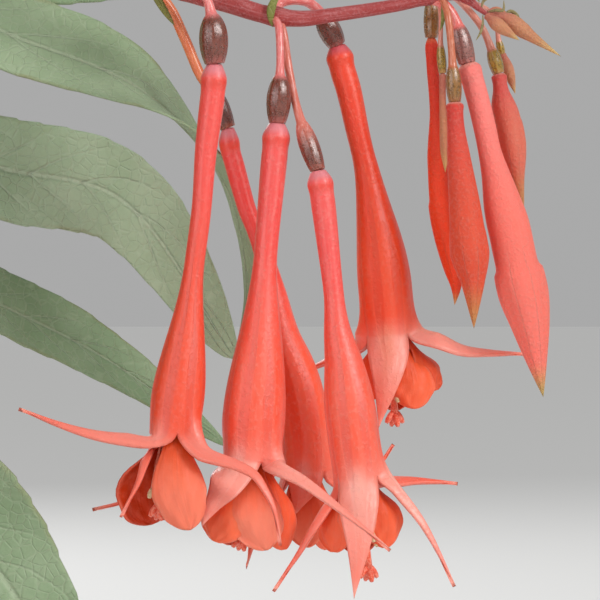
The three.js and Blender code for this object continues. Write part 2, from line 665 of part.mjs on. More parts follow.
function bud(plan, grow) {
  const body = routeOf(plan.body);
  const stations = [0.02, 0.15, 0.32, 0.5, 0.64, 0.74, 0.84, 0.94];
  const closed = limb(body, stations, (station) => closedFlowerRadius(station, plan), { sides: 6, grow });
  const neck = new THREE.Vector3(...plan.body[0]).lerp(new THREE.Vector3(...plan.body[1]), 0.2);
  return union([ovary(plan, neck.toArray(), grow), closed]);
}

function terminalBuds(grow) {
  const shape = { rise: [0.05, 0.45], shoulder: 0.55 };
  const buds = TERMINAL_BUDS.map((plan) => limb(
    routeOf(plan.body),
    [0.02, 0.25, 0.5, 0.72, 0.92],
    (station) => closedFlowerRadius(station, { ...plan, ...shape }),
    { sides: 6, grow },
  ));
  return union(buds);
}

place('flowering_stem', (grow) => taperedStem(FLOWERING_STEM, grow), COLOURS.stem);
place('leafy_stem', (grow) => taperedStem(LEAFY_STEM, grow), COLOURS.stem);
for (const flower of FLOWERS) {
  place(`${flower.name}_stamens`, (grow) => stamens(flower, grow), COLOURS.stamen);
  place(`${flower.name}_corolla`, (grow) => corolla(flower, grow), COLOURS.petal);
  place(`${flower.name}_calyx`, (grow) => calyx(flower, grow), COLOURS.calyx);
  place(`${flower.name}_ovary`, (grow) => ovary(flower, flower.tube[0], grow), COLOURS.ovary);
}
for (const plan of BUDS) {
  place(plan.name, (grow) => bud(plan, grow), COLOURS.bud);
}
place('terminal_buds', terminalBuds, COLOURS.bud);
for (const leaf of SHOOT_LEAVES) {
  place(leaf.name, (grow) => shootLeaf(leaf, grow), COLOURS.leaf);
}

// ---------------------------------------------------------------- the rest of the plant
const SHOOTS = TIERS.flatMap((tier, tierIndex) => tier.azimuths.map((azimuth, index) => {
  const seed = tierIndex * 10 + index + 1;
  return { ...tier, azimuth, seed, sway: 30 * (wobble(seed, 0) - 0.5) };
}));

/** A shoot's stem: up out of the mix, over, and out to its tip. */
function shootCurve({ azimuth, root, reach, rise, arch, sway }) {
  const aside = polar(1, azimuth + 90, 0);
  const over = RIM_Z + arch;
  return new THREE.CubicBezierCurve3(
    polar(root, azimuth, SOIL_TOP - ROOT_DEPTH),
    polar(root + 10, azimuth, over),
    polar(0.75 * reach, azimuth, over).addScaledVector(aside, 0.5 * sway),
    polar(reach, azimuth, RIM_Z + rise).addScaledVector(aside, sway),
  );
}

function shootStem(shoot, grow) {
  const aside = polar(1, shoot.azimuth + 90, 0);
  return limb(shootCurve(shoot), steps(7), (station) => 2.4 - 1.3 * station, { sides: 4, aside, grow });
}

/** One leaf of a whorl: out along its direction, then drooping. */
function whorlLeaf(shoot, whorl, leaf, grow) {
  const station = shoot.whorls[whorl];
  const item = 10 * whorl + leaf + 1;
  const turn = shoot.azimuth + 120 * leaf + 60 * whorl + 40 * (wobble(shoot.seed, item) - 0.5);
  const out = polar(1, turn, 0);
  const length = 92 - 55 * station;
  const droop = length * (0.22 + 0.3 * wobble(shoot.seed, item + 50));
  const start = shootCurve(shoot).getPoint(station);
  const middle = start.clone().addScaledVector(out, 0.55 * length).addScaledVector(UP, 0.16 * length);
  const tip = start.clone().addScaledVector(out, 0.95 * length).addScaledVector(UP, -droop);
  const midrib = new THREE.QuadraticBezierCurve3(start, middle, tip);
  const across = UP.clone().cross(out);
  const halfWidthAt = (way) => leafWidth(way, 0.22 * length, 0.42);
  return blade(midrib, [0.36, 0.7], halfWidthAt, () => across, LEAF_THICKNESS, grow);
}

/** One hanging flower of a shoot's end, from pedicel to petals. */
function hangingFlower(shoot, index, grow) {
  const item = 100 + index;
  const spread = (index % 2 ? 55 : -55) * (0.5 + wobble(shoot.seed, item));
  const out = polar(1, shoot.azimuth + spread, 0);
  const hang = 60 + 8 * wobble(shoot.seed, item + 50);
  const start = shootCurve(shoot).getPoint(RACEME_START + RACEME_STEP * index);
  const route = new THREE.QuadraticBezierCurve3(
    start,
    start.clone().addScaledVector(out, 13).addScaledVector(UP, 3),
    start.clone().addScaledVector(out, 17).addScaledVector(UP, -hang),
  );
  const radii = [[0, 0.6], [0.3, 1.7], [0.62, 1.8], [1, 4.8]];
  const radiusAt = (way) => radii.find(([station]) => station === way)[1];
  const aside = UP.clone().cross(out);
  return limb(route, radii.map(([station]) => station), radiusAt, { sides: 4, aside, grow });
}

function shootFoliage(shoot, grow) {
  const parts = [];
  for (let whorl = 0; whorl < shoot.whorls.length; whorl += 1) {
    for (let leaf = 0; leaf < LEAVES_PER_WHORL; leaf += 1) {
      parts.push(whorlLeaf(shoot, whorl, leaf, grow));
    }
  }
  for (let index = 0; index < RACEME_FLOWERS; index += 1) {
    parts.push(hangingFlower(shoot, index, grow));
  }
  return union(parts);
}

// Stems pass freely through the foliage, so leaves and flowers give way to every other stem, to the
// leaves and flowers of the shoots before them, and to the potting mix.
const grownStems = SHOOTS.map((shoot) => shootStem(shoot, SEAT_GAP));
const grownMix = upright(0, 0, RIM_Z - BOWL_HEIGHT, SOIL_TOP + SEAT_GAP, flangeInner, BOWL_SEGMENTS);
const grownFoliage = [grownMix];
SHOOTS.forEach((shoot, index) => {
  const otherStems = grownStems.filter((_, other) => other !== index);
  const foliage = clearOf(shootFoliage(shoot, 0), [...otherStems, ...grownFoliage]);
  const name = `shoot_${String(index + 1).padStart(2, '0')}`;
  addMesh(name, clearOf(union([foliage, shootStem(shoot, 0)]), placed), COLOURS.leaf);
  grownFoliage.push(shootFoliage(shoot, SEAT_GAP));
});

// ---------------------------------------------------------------- the potting mix
/** The potting mix fills the bowl to below the rim, with a socket round each stem. */
function pottingMix() {
  const base = RIM_Z - BOWL_HEIGHT;
  const clear = BOWL_WALL + SEAT_GAP;
  const profile = [
    [0, base + clear], [BOWL_BASE_RADIUS - 0.5, base + clear], [BOWL_BASE_RADIUS + 6.4, base + 4 + clear],
    [89 - clear, base + 37.2], [106 - clear, base + 72], [115 - clear, base + 106],
    [117.2 - clear, SOIL_TOP], [0, SOIL_TOP],
  ];
  const heroStems = [FLOWERING_STEM, LEAFY_STEM].map((stem) => taperedStem(stem, SEAT_GAP));
  return turned(profile, BOWL_SEGMENTS).subtract(union([...grownStems, ...heroStems]));
}

addMesh('potting_mix', pottingMix(), COLOURS.soil);

export default basket;
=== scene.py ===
"""Looks of a fuchsia hanging basket: its flowers, buds and leaves, the mix, the bowl and the hanger.

Lengths are millimetres until a mesh is made. Places on the shoot in flower are (across, depth, up)
from the middle of its hanging cluster, with depth growing away from the viewer in front.
"""

import logging
import math
from dataclasses import dataclass, field
from enum import Enum, IntEnum
from functools import cached_property
from typing import NamedTuple, Sequence

import bmesh
import bpy
import numpy as np
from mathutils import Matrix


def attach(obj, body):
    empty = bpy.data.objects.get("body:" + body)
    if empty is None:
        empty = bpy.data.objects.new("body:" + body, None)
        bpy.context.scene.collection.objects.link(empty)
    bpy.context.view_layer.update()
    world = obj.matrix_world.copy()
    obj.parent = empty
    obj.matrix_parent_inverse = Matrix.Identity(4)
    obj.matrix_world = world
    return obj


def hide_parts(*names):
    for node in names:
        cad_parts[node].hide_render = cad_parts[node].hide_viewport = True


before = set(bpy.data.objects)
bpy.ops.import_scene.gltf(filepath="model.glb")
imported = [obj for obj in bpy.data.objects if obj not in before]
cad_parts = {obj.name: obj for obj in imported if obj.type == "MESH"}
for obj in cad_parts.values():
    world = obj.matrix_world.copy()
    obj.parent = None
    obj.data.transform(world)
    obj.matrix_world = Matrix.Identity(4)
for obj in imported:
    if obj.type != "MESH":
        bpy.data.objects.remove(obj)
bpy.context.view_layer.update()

LOG = logging.getLogger("hanging_basket")

Array = np.ndarray
Material = bpy.types.Material
Pair = tuple[float, float]
Place = tuple[float, float, float]
Places = Sequence[Place]
# Linear red, green, blue and alpha, or a display colour's six hexadecimal digits.
Colour = tuple[float, float, float, float] | str

MM = 0.001
TAU = 2 * math.pi
UP = np.array([0.0, 0.0, 1.0])
DEPTH = np.array([0.0, 1.0, 0.0])
BODY = "root"
WELD_MM = 0.002
# The ridges along a tube and an ovary, and the side veins of a leaf, in the mesh and in the finish.
RIBS = 8
VEIN_PAIRS = 9.0
VEIN_SWEEP = 1.5

# ---- sizes of the holder
HANGER_DROP = 360.0
RIM_Z = -HANGER_DROP
SOIL_TOP = RIM_Z - 12
ROOT_DEPTH = 12.0
CLUSTER = np.array([217.0, -60.0, RIM_Z - 40])
SEAT_GAP = 0.3
VIEW_DISTANCE = 625.0


# ---- small mathematics
def smooth(low: float, high: float, value: Array | float) -> Array:
    """A smooth step from 0 at low to 1 at high: 3x squared less 2x cubed."""
    part = np.clip((np.asarray(value, float) - low) / (high - low), 0, 1)
    return part * part * (3 - 2 * part)


def evenly(count: int) -> Array:
    """Numbers from 0 to 1, evenly spread."""
    return np.linspace(0, 1, count)


def unit(vectors: Array) -> Array:
    """The vectors, each divided by its own length."""
    return vectors / np.maximum(np.linalg.norm(vectors, axis=-1, keepdims=True), 1e-9)


def wobble(seed: float, item: float) -> float:
    """A repeatable number from 0 to 1 for one item of one shoot: the fraction of a large sine."""
    wave = math.sin(seed * 12.9898 + item * 78.233) * 43758.5453
    return wave - math.floor(wave)


def polar(radius: float, azimuth: float, height: float) -> Array:
    """The point at a radius, an azimuth in degrees and a height."""
    angle = math.radians(azimuth)
    return np.array([radius * math.cos(angle), radius * math.sin(angle), height])


def in_cluster(places: Places) -> Array:
    """Places on the shoot in flower, in the basket's own frame."""
    return np.array(places, float) + CLUSTER


def as_seen(places: Places) -> Array:
    """Places of the cluster read straight off the view: across and up shrink with nearness."""
    read = np.array(places, float)
    return read * (1 + read[:, 1:2] / VIEW_DISTANCE * (1 - DEPTH)) + CLUSTER


def level(depth: float, *across_and_up: float) -> Places:
    """Places at one depth, from numbers that are across and up in turn."""
    return [(across, depth, up) for across, up in zip(across_and_up[::2], across_and_up[1::2])]


def linear(code: str) -> Colour:
    """A display colour's six digits, such as "f0563f", as linear red, green and blue, and an alpha of 1."""
    parts = [int(code[start:start + 2], 16) / 255 for start in (0, 2, 4)]
    return (*(part / 12.92 if part <= 0.04045 else ((part + 0.055) / 1.055) ** 2.4 for part in parts), 1.0)


# ---- lines
class Route:
    """A smooth line through space, read at ways from 0 to 1."""

    def at(self, ways: Array) -> Array:
        """The points at some ways along the line."""
        raise NotImplementedError

    def along(self, ways: Array) -> Array:
        """The unit directions at some ways: the difference of points just ahead and just behind."""
        step = 1e-3
        return unit(self.at(np.clip(ways + step, 0, 1)) - self.at(np.clip(ways - step, 0, 1)))

    def one(self, way: float) -> Array:
        """The point at one way."""
        return self.at(np.array([way]))[0]


@dataclass(frozen=True)
class Spline(Route):
    """A smooth line through all its points."""

    points: Places

    def at(self, ways: Array) -> Array:
        """Cubic blends between neighbouring points, with slopes weighted by the roots of their gaps.

        Args:
            ways: where to read it, from 0 to 1.

        Returns:
            The points.
        """
        points = np.asarray(self.points, float)
        padded = np.vstack([2 * points[0] - points[1], points, 2 * points[-1] - points[-2]])
        scaled = np.clip(np.asarray(ways, float), 0, 1) * (len(points) - 1)
        index = np.minimum(scaled.astype(int), len(points) - 2)
        part = (scaled - index)[:, None]
        before, start, end, after = (padded[index + shift] for shift in range(4))
        gaps = [
            np.sqrt(np.maximum(np.linalg.norm(far - near, axis=1, keepdims=True), 1e-8))
            for near, far in ((before, start), (start, end), (end, after))
        ]
        leave = (start - before) / gaps[0] - (end - before) / (gaps[0] + gaps[1]) + (end - start) / gaps[1]
        arrive = (end - start) / gaps[1] - (after - start) / (gaps[1] + gaps[2]) + (after - end) / gaps[2]
        leave, arrive = leave * gaps[1], arrive * gaps[1]
        bend = -3 * start + 3 * end - 2 * leave - arrive
        twist = 2 * start - 2 * end + leave + arrive
        return start + part * (leave + part * (bend + part * twist))


@dataclass(frozen=True)
class Bezier(Route):
    """A line from its first point to its last, pulled towards those between."""

    points: Places

    def at(self, ways: Array) -> Array:
        """The points weighted by the binomial terms of the way and what is left of it.

        Args:
            ways: where to read it, from 0 to 1.

        Returns:
            The points.
        """
        ways = np.asarray(ways, float)[:, None]
        degree = len(self.points) - 1
        terms = [
            math.comb(degree, index) * ways**index * (1 - ways) ** (degree - index) * np.asarray(point)
            for index, point in enumerate(self.points)
        ]
        return np.sum(terms, axis=0)


@dataclass(frozen=True)
class Stretch(Route):
    """The part of a line between two of its ways."""

    whole: Route
    first: float
    last: float

    def at(self, ways: Array) -> Array:
        """The whole line's points, with 0 to 1 spread from the first way to the last."""
        return self.whole.at(self.first + (self.last - self.first) * np.asarray(ways, float))


@dataclass(frozen=True)
class Even(Route):
    """A line read evenly by its length."""

    whole: Route

    def at(self, ways: Array) -> Array:
        """The whole line's points, with each way looked up in a table of the length reached so far.

        Args:
            ways: where to read it, from 0 to 1.

        Returns:
            The points.
        """
        steps = evenly(65)
        gaps = np.linalg.norm(np.diff(self.whole.at(steps), axis=0), axis=1)
        reached = np.append(0.0, np.cumsum(gaps))
        return self.whole.at(np.interp(np.asarray(ways, float) * reached[-1], reached, steps))


@dataclass(frozen=True)
class HalvedRoute(Route):
    """A line read so that one of its ways, the split, falls at a half."""

    whole: Route
    split: float

    def at(self, ways: Array) -> Array:
        """The whole line's points, with the first half spread up to the split."""
        return self.whole.at(np.interp(ways, (0, 0.5, 1), (0, self.split, 1)))


# ---- grids of points
@dataclass
class Grid:
    """A grid of points: rows run along a piece, columns run across or round it.

    ways and around become the map's u and v; where the last column joins the first, around has one
    more value. edge is 0 on a blade's midline and 1 at its margin, tone tells one leaf, sepal or
    flower from the next, and finish numbers the finish that it wears.
    """

    points: Array
    ways: Array
    around: Array
    closed: bool = False
    edge: Array | float = 1.0
    tone: Array | float = 0.5
    finish: int = 0

    def corners(self) -> tuple[Array, Array]:
        """Works out every face at once, from the rows and columns of its first corner.

        Returns:
            Each face's four vertex numbers, and each corner's place on the map.
        """
        rows, columns = self.points.shape[:2]
        spans = columns if self.closed else columns - 1
        row, column = np.meshgrid(np.arange(rows - 1), np.arange(spans), indexing="ij")
        steps = ((0, 0), (0, 1), (1, 1), (1, 0))
        faces = np.stack([(row + down) * columns + (column + over) % columns for down, over in steps], -1)
        places = np.stack(
            [np.stack([self.ways[row + down], self.around[column + over]], -1) for down, over in steps], -2
        )
        return faces.reshape(-1, 4), places.reshape(-1, 2)


def frames_on(route: Route, ways: Array, aside: Array) -> tuple[Array, Array, Array, Array]:
    """Centres, directions and two cross directions of a line.

    Args:
        route: the line.
        ways: where to read it.
        aside: the direction that the first cross direction leans to.

    Returns:
        Centres; directions along; aside made square to them; and along crossed with that.
    """
    centres, along = route.at(ways), route.along(ways)
    first = unit(aside - np.sum(aside * along, axis=-1, keepdims=True) * along)
    return centres, along, first, np.cross(along, first)


def limb(
    route: Route, ways: Array, radii: Array, sides: int = 12, aside: Array = DEPTH,
    swell: Array | float = 1.0, **marks: float,
) -> Grid:
    """A closed round limb: each point is its centre plus a radius times a turning cross direction.

    Args:
        route: the middle line.
        ways: where the rings are.
        radii: each ring's radius.
        sides: points in a ring.
        aside: where a ring starts.
        swell: a factor on the radius, for each ring and side.
        **marks: its tone and finish.

    Returns:
        The limb, closed to a point at both ends.
    """
    centres, _, first, second = frames_on(route, ways, aside)
    angle = np.linspace(0, TAU, sides, endpoint=False)
    radius = (np.asarray(radii, float)[:, None] * swell * np.ones(sides))[..., None]
    turn = np.cos(angle)[:, None] * first[:, None] + np.sin(angle)[:, None] * second[:, None]
    ring = centres[:, None] + radius * turn
    start, end = (np.repeat(centre[None, None], sides, 1) for centre in (centres[0], centres[-1]))
    spread = np.concatenate([ways[:1], ways, ways[-1:]])
    points = np.concatenate([start, ring, end])
    return Grid(points, spread, evenly(sides + 1), closed=True, **marks)


def turned(profile: Sequence[Pair], segments: int) -> Grid:
    """A surface of revolution: each (radius, height) pair swept round the vertical axis.

    Args:
        profile: each ring's radius and height.
        segments: points in a ring.

    Returns:
        The surface, closed round its axis.
    """
    outline = np.array(profile, float)
    angle = np.linspace(0, TAU, segments, endpoint=False)
    radii, heights = outline[:, :1], np.repeat(outline[:, 1:], segments, 1)
    points = np.stack([radii * np.cos(angle), radii * np.sin(angle), heights], -1)
    return Grid(points, evenly(len(outline)), evenly(segments + 1), closed=True)


def blade(
    route: Route, ways: Array, half_widths: Array, side: Array, heights: Array, **marks: float
) -> Grid:
    """An open sheet along a line: the centre, plus the side direction times width and q from -1 to 1.

    Args:
        route: the midline.
        ways: where the rows are.
        half_widths: each row's half width.
        side: the direction across, one or one for each row.
        heights: how far each point stands off towards the face, as a share of the half width.
        **marks: its tone and finish.

    Returns:
        The sheet.
    """
    centres, _, side, face = frames_on(route, ways, side)
    across = np.linspace(-1, 1, heights.shape[1])
    reach, height = ((half_widths[:, None] * part)[..., None] for part in (across, heights))
    points = centres[:, None] + side[:, None] * reach + face[:, None] * height
    return Grid(points, ways, (across + 1) / 2, edge=np.abs(across), **marks)


def ball(centre: Array, sizes: Array, axis: Array, rows: int = 5, sides: int = 6, **marks: float) -> Grid:
    """An ellipsoid along an axis: rings whose radius is the sine of the way from pole to pole.

    Args:
        centre: its middle.
        sizes: its radius across the axis and along it.
        axis: the axis's unit direction.
        rows: rings between the poles.
        sides: points in a ring.
        **marks: its tone and its finish.

    Returns:
        The ball.
    """
    route = Bezier([centre - axis * sizes[1], centre + axis * sizes[1]])
    turn = np.linspace(0, math.pi, rows + 2)[1:-1]
    aside = DEPTH if abs(axis[1]) < 0.9 else UP
    return limb(route, (1 - np.cos(turn)) / 2, sizes[0] * np.sin(turn), sides, aside, **marks)


# ---- meshes
def mesh_of(name: str, grids: Sequence[Grid], finishes: Sequence["Finish"]) -> bpy.types.Mesh:
    """One welded mesh of several grids, with its map, its marks and its finishes.

    Args:
        name: the mesh's name.
        grids: the grids, in millimetres.
        finishes: what the grids' finish numbers stand for.

    Returns:
        The mesh, in metres, with poles and seams closed.
    """
    firsts = np.cumsum([0] + [grid.points.shape[0] * grid.points.shape[1] for grid in grids])
    parts = [grid.corners() for grid in grids]
    faces = np.concatenate([part[0] + first for part, first in zip(parts, firsts)])
    places = np.concatenate([part[1] for part in parts])
    points = np.concatenate([grid.points.reshape(-1, 3) for grid in grids]) * MM
    mesh = bpy.data.meshes.new(name)
    mesh.from_pydata(points.tolist(), [], faces.tolist())
    wear = np.concatenate([np.full(len(part[0]), grid.finish) for part, grid in zip(parts, grids)])
    mesh.polygons.foreach_set("material_index", wear.astype(np.int32))
    mesh.uv_layers.new(name="UVMap").data.foreach_set("uv", places.astype(np.float32).ravel())
    for mark in ("tone", "edge"):
        values = [np.broadcast_to(getattr(grid, mark), grid.points.shape[:2]).ravel() for grid in grids]
        kept = mesh.attributes.new(mark, "FLOAT", "POINT")
        kept.data.foreach_set("value", np.concatenate(values).astype(np.float32))
    for finish in finishes:
        mesh.materials.append(finish.material)
    shape = bmesh.new()
    shape.from_mesh(mesh)
    bmesh.ops.remove_doubles(shape, verts=shape.verts, dist=WELD_MM * MM)
    shape.to_mesh(mesh)
    shape.free()
    mesh.polygons.foreach_set("use_smooth", np.ones(len(mesh.polygons), bool))
    return mesh


def stand(name: str, data: bpy.types.ID) -> bpy.types.Object:
    """Adds an object to the scene.

    Args:
        name: its name.
        data: its mesh, lamp or camera.

    Returns:
        The object.
    """
    made = bpy.data.objects.new(name, data)
    bpy.context.scene.collection.objects.link(made)
    return made


def add_piece(
    name: str, grids: Sequence[Grid], finishes: Sequence["Finish"], slot: str,
    stands_for: Sequence[str] = (), thickness: float = 0.0, offset: float = 0.0,
) -> bpy.types.Object:
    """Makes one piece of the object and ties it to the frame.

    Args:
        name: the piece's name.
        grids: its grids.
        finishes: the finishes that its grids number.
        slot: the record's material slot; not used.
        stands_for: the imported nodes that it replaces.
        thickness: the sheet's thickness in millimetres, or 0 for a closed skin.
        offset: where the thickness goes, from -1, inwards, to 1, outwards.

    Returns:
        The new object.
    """
    mesh = mesh_of(name, grids, finishes)
    piece = stand(name, mesh)
    if thickness > 0:
        shell = piece.modifiers.new("thickness", "SOLIDIFY")
        shell.thickness = thickness * MM
        shell.offset = offset
    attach(piece, BODY)
    if stands_for:
        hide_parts(*stands_for)
    LOG.info("%s: %d faces", name, len(mesh.polygons))
    return piece


# ---- shader graphs
class Socket:
    """One output of a shader graph, with arithmetic on values."""

    def __init__(self, graph: "Graph", link: bpy.types.NodeSocket) -> None:
        """Keeps the graph and the socket that this stands for."""
        self.graph = graph
        self.link = link

    def math(self, operation: str, *others: "Socket | float") -> "Socket":
        """A Math node's result on this value and the others."""
        inputs = dict(enumerate((self, *others)))
        return self.graph.node("Math", {"operation": operation}, inputs)

    def __add__(self, other: "Socket | float") -> "Socket":
        """This value plus another."""
        return self.math("ADD", other)

    __radd__ = __add__

    def __mul__(self, other: "Socket | float") -> "Socket":
        """This value times another."""
        return self.math("MULTIPLY", other)

    __rmul__ = __mul__

    def __sub__(self, other: "Socket | float") -> "Socket":
        """This value less another."""
        return self.math("SUBTRACT", other)

    def __rsub__(self, other: float) -> "Socket":
        """A number less this value."""
        return self.graph.node("Math", {"operation": "SUBTRACT"}, {0: other, 1: self})

    def step(self, low: float, high: float) -> "Socket":
        """A smooth step from 0 at low to 1 at high; a high under low falls instead of rising."""
        bounds = {1: min(low, high), 2: max(low, high), 3: float(low > high), 4: float(low < high)}
        return self.graph.node("MapRange", {"interpolation_type": "SMOOTHSTEP"}, {0: self, **bounds})


class Graph:
    """A material's node tree, with short ways to add what the finishes need."""

    def __init__(self, name: str) -> None:
        """Starts an empty tree for a new material.

        Args:
            name: the material's name.
        """
        self.made = bpy.data.materials.new(name)
        self.made.use_nodes = True
        self.tree = self.made.node_tree
        self.tree.nodes.clear()

    def node(
        self, kind: str, settings: dict[str, object] | None = None,
        inputs: dict[int | str, object] | None = None, output: int | str = 0,
    ) -> Socket:
        """Adds any node.

        Args:
            kind: the node's type, without the prefix that all of them share.
            settings: its properties, set first.
            inputs: values, colour codes or sockets for its inputs, by number or name.
            output: which output to return.

        Returns:
            The chosen output.
        """
        made = self.tree.nodes.new(f"ShaderNode{kind}")
        for key, value in (settings or {}).items():
            setattr(made, key, value)
        for key, value in (inputs or {}).items():
            if isinstance(value, Socket):
                self.tree.links.new(value.link, made.inputs[key])
            else:
                made.inputs[key].default_value = linear(value) if isinstance(value, str) else value
        return Socket(self, made.outputs[output])

    @cached_property
    def place(self) -> Socket:
        """The point in the piece's own coordinates, in metres."""
        return self.node("TexCoord", output="Object")

    @cached_property
    def along(self) -> Socket:
        """How far along its piece a point is: the map's u."""
        return self.node("SeparateXYZ", None, {0: self._map}, "X")

    @cached_property
    def around(self) -> Socket:
        """How far round or across its piece a point is: the map's v."""
        return self.node("SeparateXYZ", None, {0: self._map}, "Y")

    @cached_property
    def _map(self) -> Socket:
        """The map's own place."""
        return self.node("TexCoord", output="UV")

    def mark(self, name: str) -> Socket:
        """A number stored on the mesh, such as tone or edge."""
        return self.node("Attribute", {"attribute_name": name}, output="Fac")

    def noise(self, scale: float, detail: float = 2.0, vector: Socket | None = None) -> Socket:
        """Soft noise from 0 to 1, on the piece's own coordinates unless told otherwise."""
        inputs = {"Vector": vector or self.place, "Scale": scale, "Detail": detail, "Roughness": 0.6}
        return self.node("TexNoise", None, inputs)

    def wrapped(self, turns: float, stretch: float) -> Socket:
        """A place for a noise to read: round a cylinder of a radius, and along its length."""
        sides = [(self.around * TAU).math(name) * turns for name in ("COSINE", "SINE")]
        return self.node("CombineXYZ", None, {0: sides[0], 1: sides[1], 2: self.along * stretch})

    def mix(self, factor: Socket | float, first: Socket | Colour, second: Socket | Colour) -> Socket:
        """A colour between two others."""
        inputs = {0: factor, 6: first, 7: second}
        return self.node("Mix", {"data_type": "RGBA"}, inputs, 2)

    def bump(self, height: Socket, depth_mm: float, strength: float = 1.0) -> Socket:
        """A normal from a height from 0 to 1 that stands for a depth in millimetres."""
        inputs = {"Height": height, "Distance": depth_mm * MM, "Strength": strength}
        return self.node("Bump", None, inputs)

    def surface(
        self, base: Socket | Colour, roughness: Socket | float, normal: Socket | None = None,
        **fixed: object,
    ) -> Material:
        """Ends the tree in a Principled shader.

        Args:
            base: the base colour.
            roughness: the roughness.
            normal: a bump's normal.
            **fixed: other inputs by name, with _ for a space, the same all over the surface.

        Returns:
            The finished material.
        """
        inputs: dict[int | str, object] = {"Base Color": base, "Roughness": roughness}
        if normal is not None:
            inputs["Normal"] = normal
        inputs.update({name.replace("_", " "): value for name, value in fixed.items()})
        shader = self.node("BsdfPrincipled", None, inputs)
        end = self.tree.nodes.new("ShaderNodeOutputMaterial")
        self.tree.links.new(shader.link, end.inputs["Surface"])
        return self.made


# ---- finishes
@dataclass(frozen=True)
class Finish:
    """A named finish, made into a material the first time it is worn."""

    name: str

    def dress(self, graph: Graph) -> Material:
        """Builds the finish's nodes."""
        raise NotImplementedError

    @property
    def material(self) -> Material:
        """The finish's material, made once."""
        found = bpy.data.materials.get(self.name)
        return found or self.dress(Graph(self.name))


@dataclass(frozen=True)
class BowlPlastic(Finish):
    """Satin moulded plastic with a faint grain, and paler rubbed patches and scuffs all over."""

    base: Colour = "8f5038"
    rubbed: Colour = "a8674c"

    def dress(self, graph: Graph) -> Material:
        """Cloudy colour, fine moulding grain and a few soft scuffs.

        Args:
            graph: the empty tree.

        Returns:
            The material.
        """
        cloud = graph.noise(18, 3).step(0.35, 0.7)
        scuff = graph.noise(95, 4).step(0.62, 0.72)
        shade = graph.mix(cloud * 0.35 + scuff * 0.25, self.base, self.rubbed)
        grain = graph.noise(1400, 2)
        return graph.surface(shade, 0.42 + 0.2 * cloud, graph.bump(grain, 0.08))


@dataclass(frozen=True)
class GalvanisedWire(Finish):
    """Zinc-plated steel wire with dull patches and fine drawing lines."""

    bright: Colour = "c3c6c8"
    dull: Colour = "8d9193"

    def dress(self, graph: Graph) -> Material:
        """Patchy brightness, rougher where it is dull.

        Args:
            graph: the empty tree.

        Returns:
            The material.
        """
        patch = graph.noise(160, 3).step(0.4, 0.65)
        line = graph.noise(1800, 1)
        shade = graph.mix(patch, self.bright, self.dull)
        return graph.surface(shade, 0.28 + 0.25 * patch, graph.bump(line, 0.02), Metallic=0.9)


@dataclass(frozen=True)
class PottingMixFinish(Finish):
    """Dark, crumbly, slightly damp mix."""

    dark: Colour = "1f150e"
    pale: Colour = "4f3a28"

    def dress(self, graph: Graph) -> Material:
        """Crumb-sized colour changes over broad damp patches.

        Args:
            graph: the empty tree.

        Returns:
            The material.
        """
        crumb = graph.noise(420, 4)
        damp = graph.noise(25, 2).step(0.35, 0.65)
        shade = graph.mix(crumb.step(0.42, 0.68), self.dark, self.pale)
        return graph.surface(shade, 0.95 - 0.25 * damp, graph.bump(crumb, 1.2))


@dataclass(frozen=True)
class ChipFinish(Finish):
    """Loose bits in the mix: bark or white volcanic grains."""

    base: Colour = "6b4a30"
    second: Colour = "3a2618"

    def dress(self, graph: Graph) -> Material:
        """Each chip's own tone, with a fine streaky grain.

        Args:
            graph: the empty tree.

        Returns:
            The material.
        """
        grain = graph.noise(900, 3)
        shade = graph.mix(graph.mark("tone") * 0.6 + grain * 0.4, self.base, self.second)
        return graph.surface(shade, 0.9, graph.bump(grain, 0.3))


@dataclass(frozen=True)
class StemFinish(Finish):
    """A soft stem: one colour at the root, another at the tip, under a dusty bloom."""

    root: Colour = "6f6a45"
    tip: Colour = "b8464f"
    bloom: Colour = "d79a9c"
    turn: Pair = (0.25, 0.7)

    def dress(self, graph: Graph) -> Material:
        """A change from root to tip, broken by streaks along the stem.

        Args:
            graph: the empty tree.

        Returns:
            The material.
        """
        streak = graph.noise(2.4, 3, graph.wrapped(1.6, 9.0))
        dust = graph.noise(2600, 2).step(0.45, 0.75)
        shade = graph.mix(graph.along.step(*self.turn), self.root, self.tip)
        shade = graph.mix(streak.step(0.45, 0.75) * 0.35 + dust * 0.22, shade, self.bloom)
        height = streak * 0.5 + dust * 0.5
        return graph.surface(shade, 0.6, graph.bump(height, 0.12), Sheen_Weight=0.12, Sheen_Roughness=0.4)


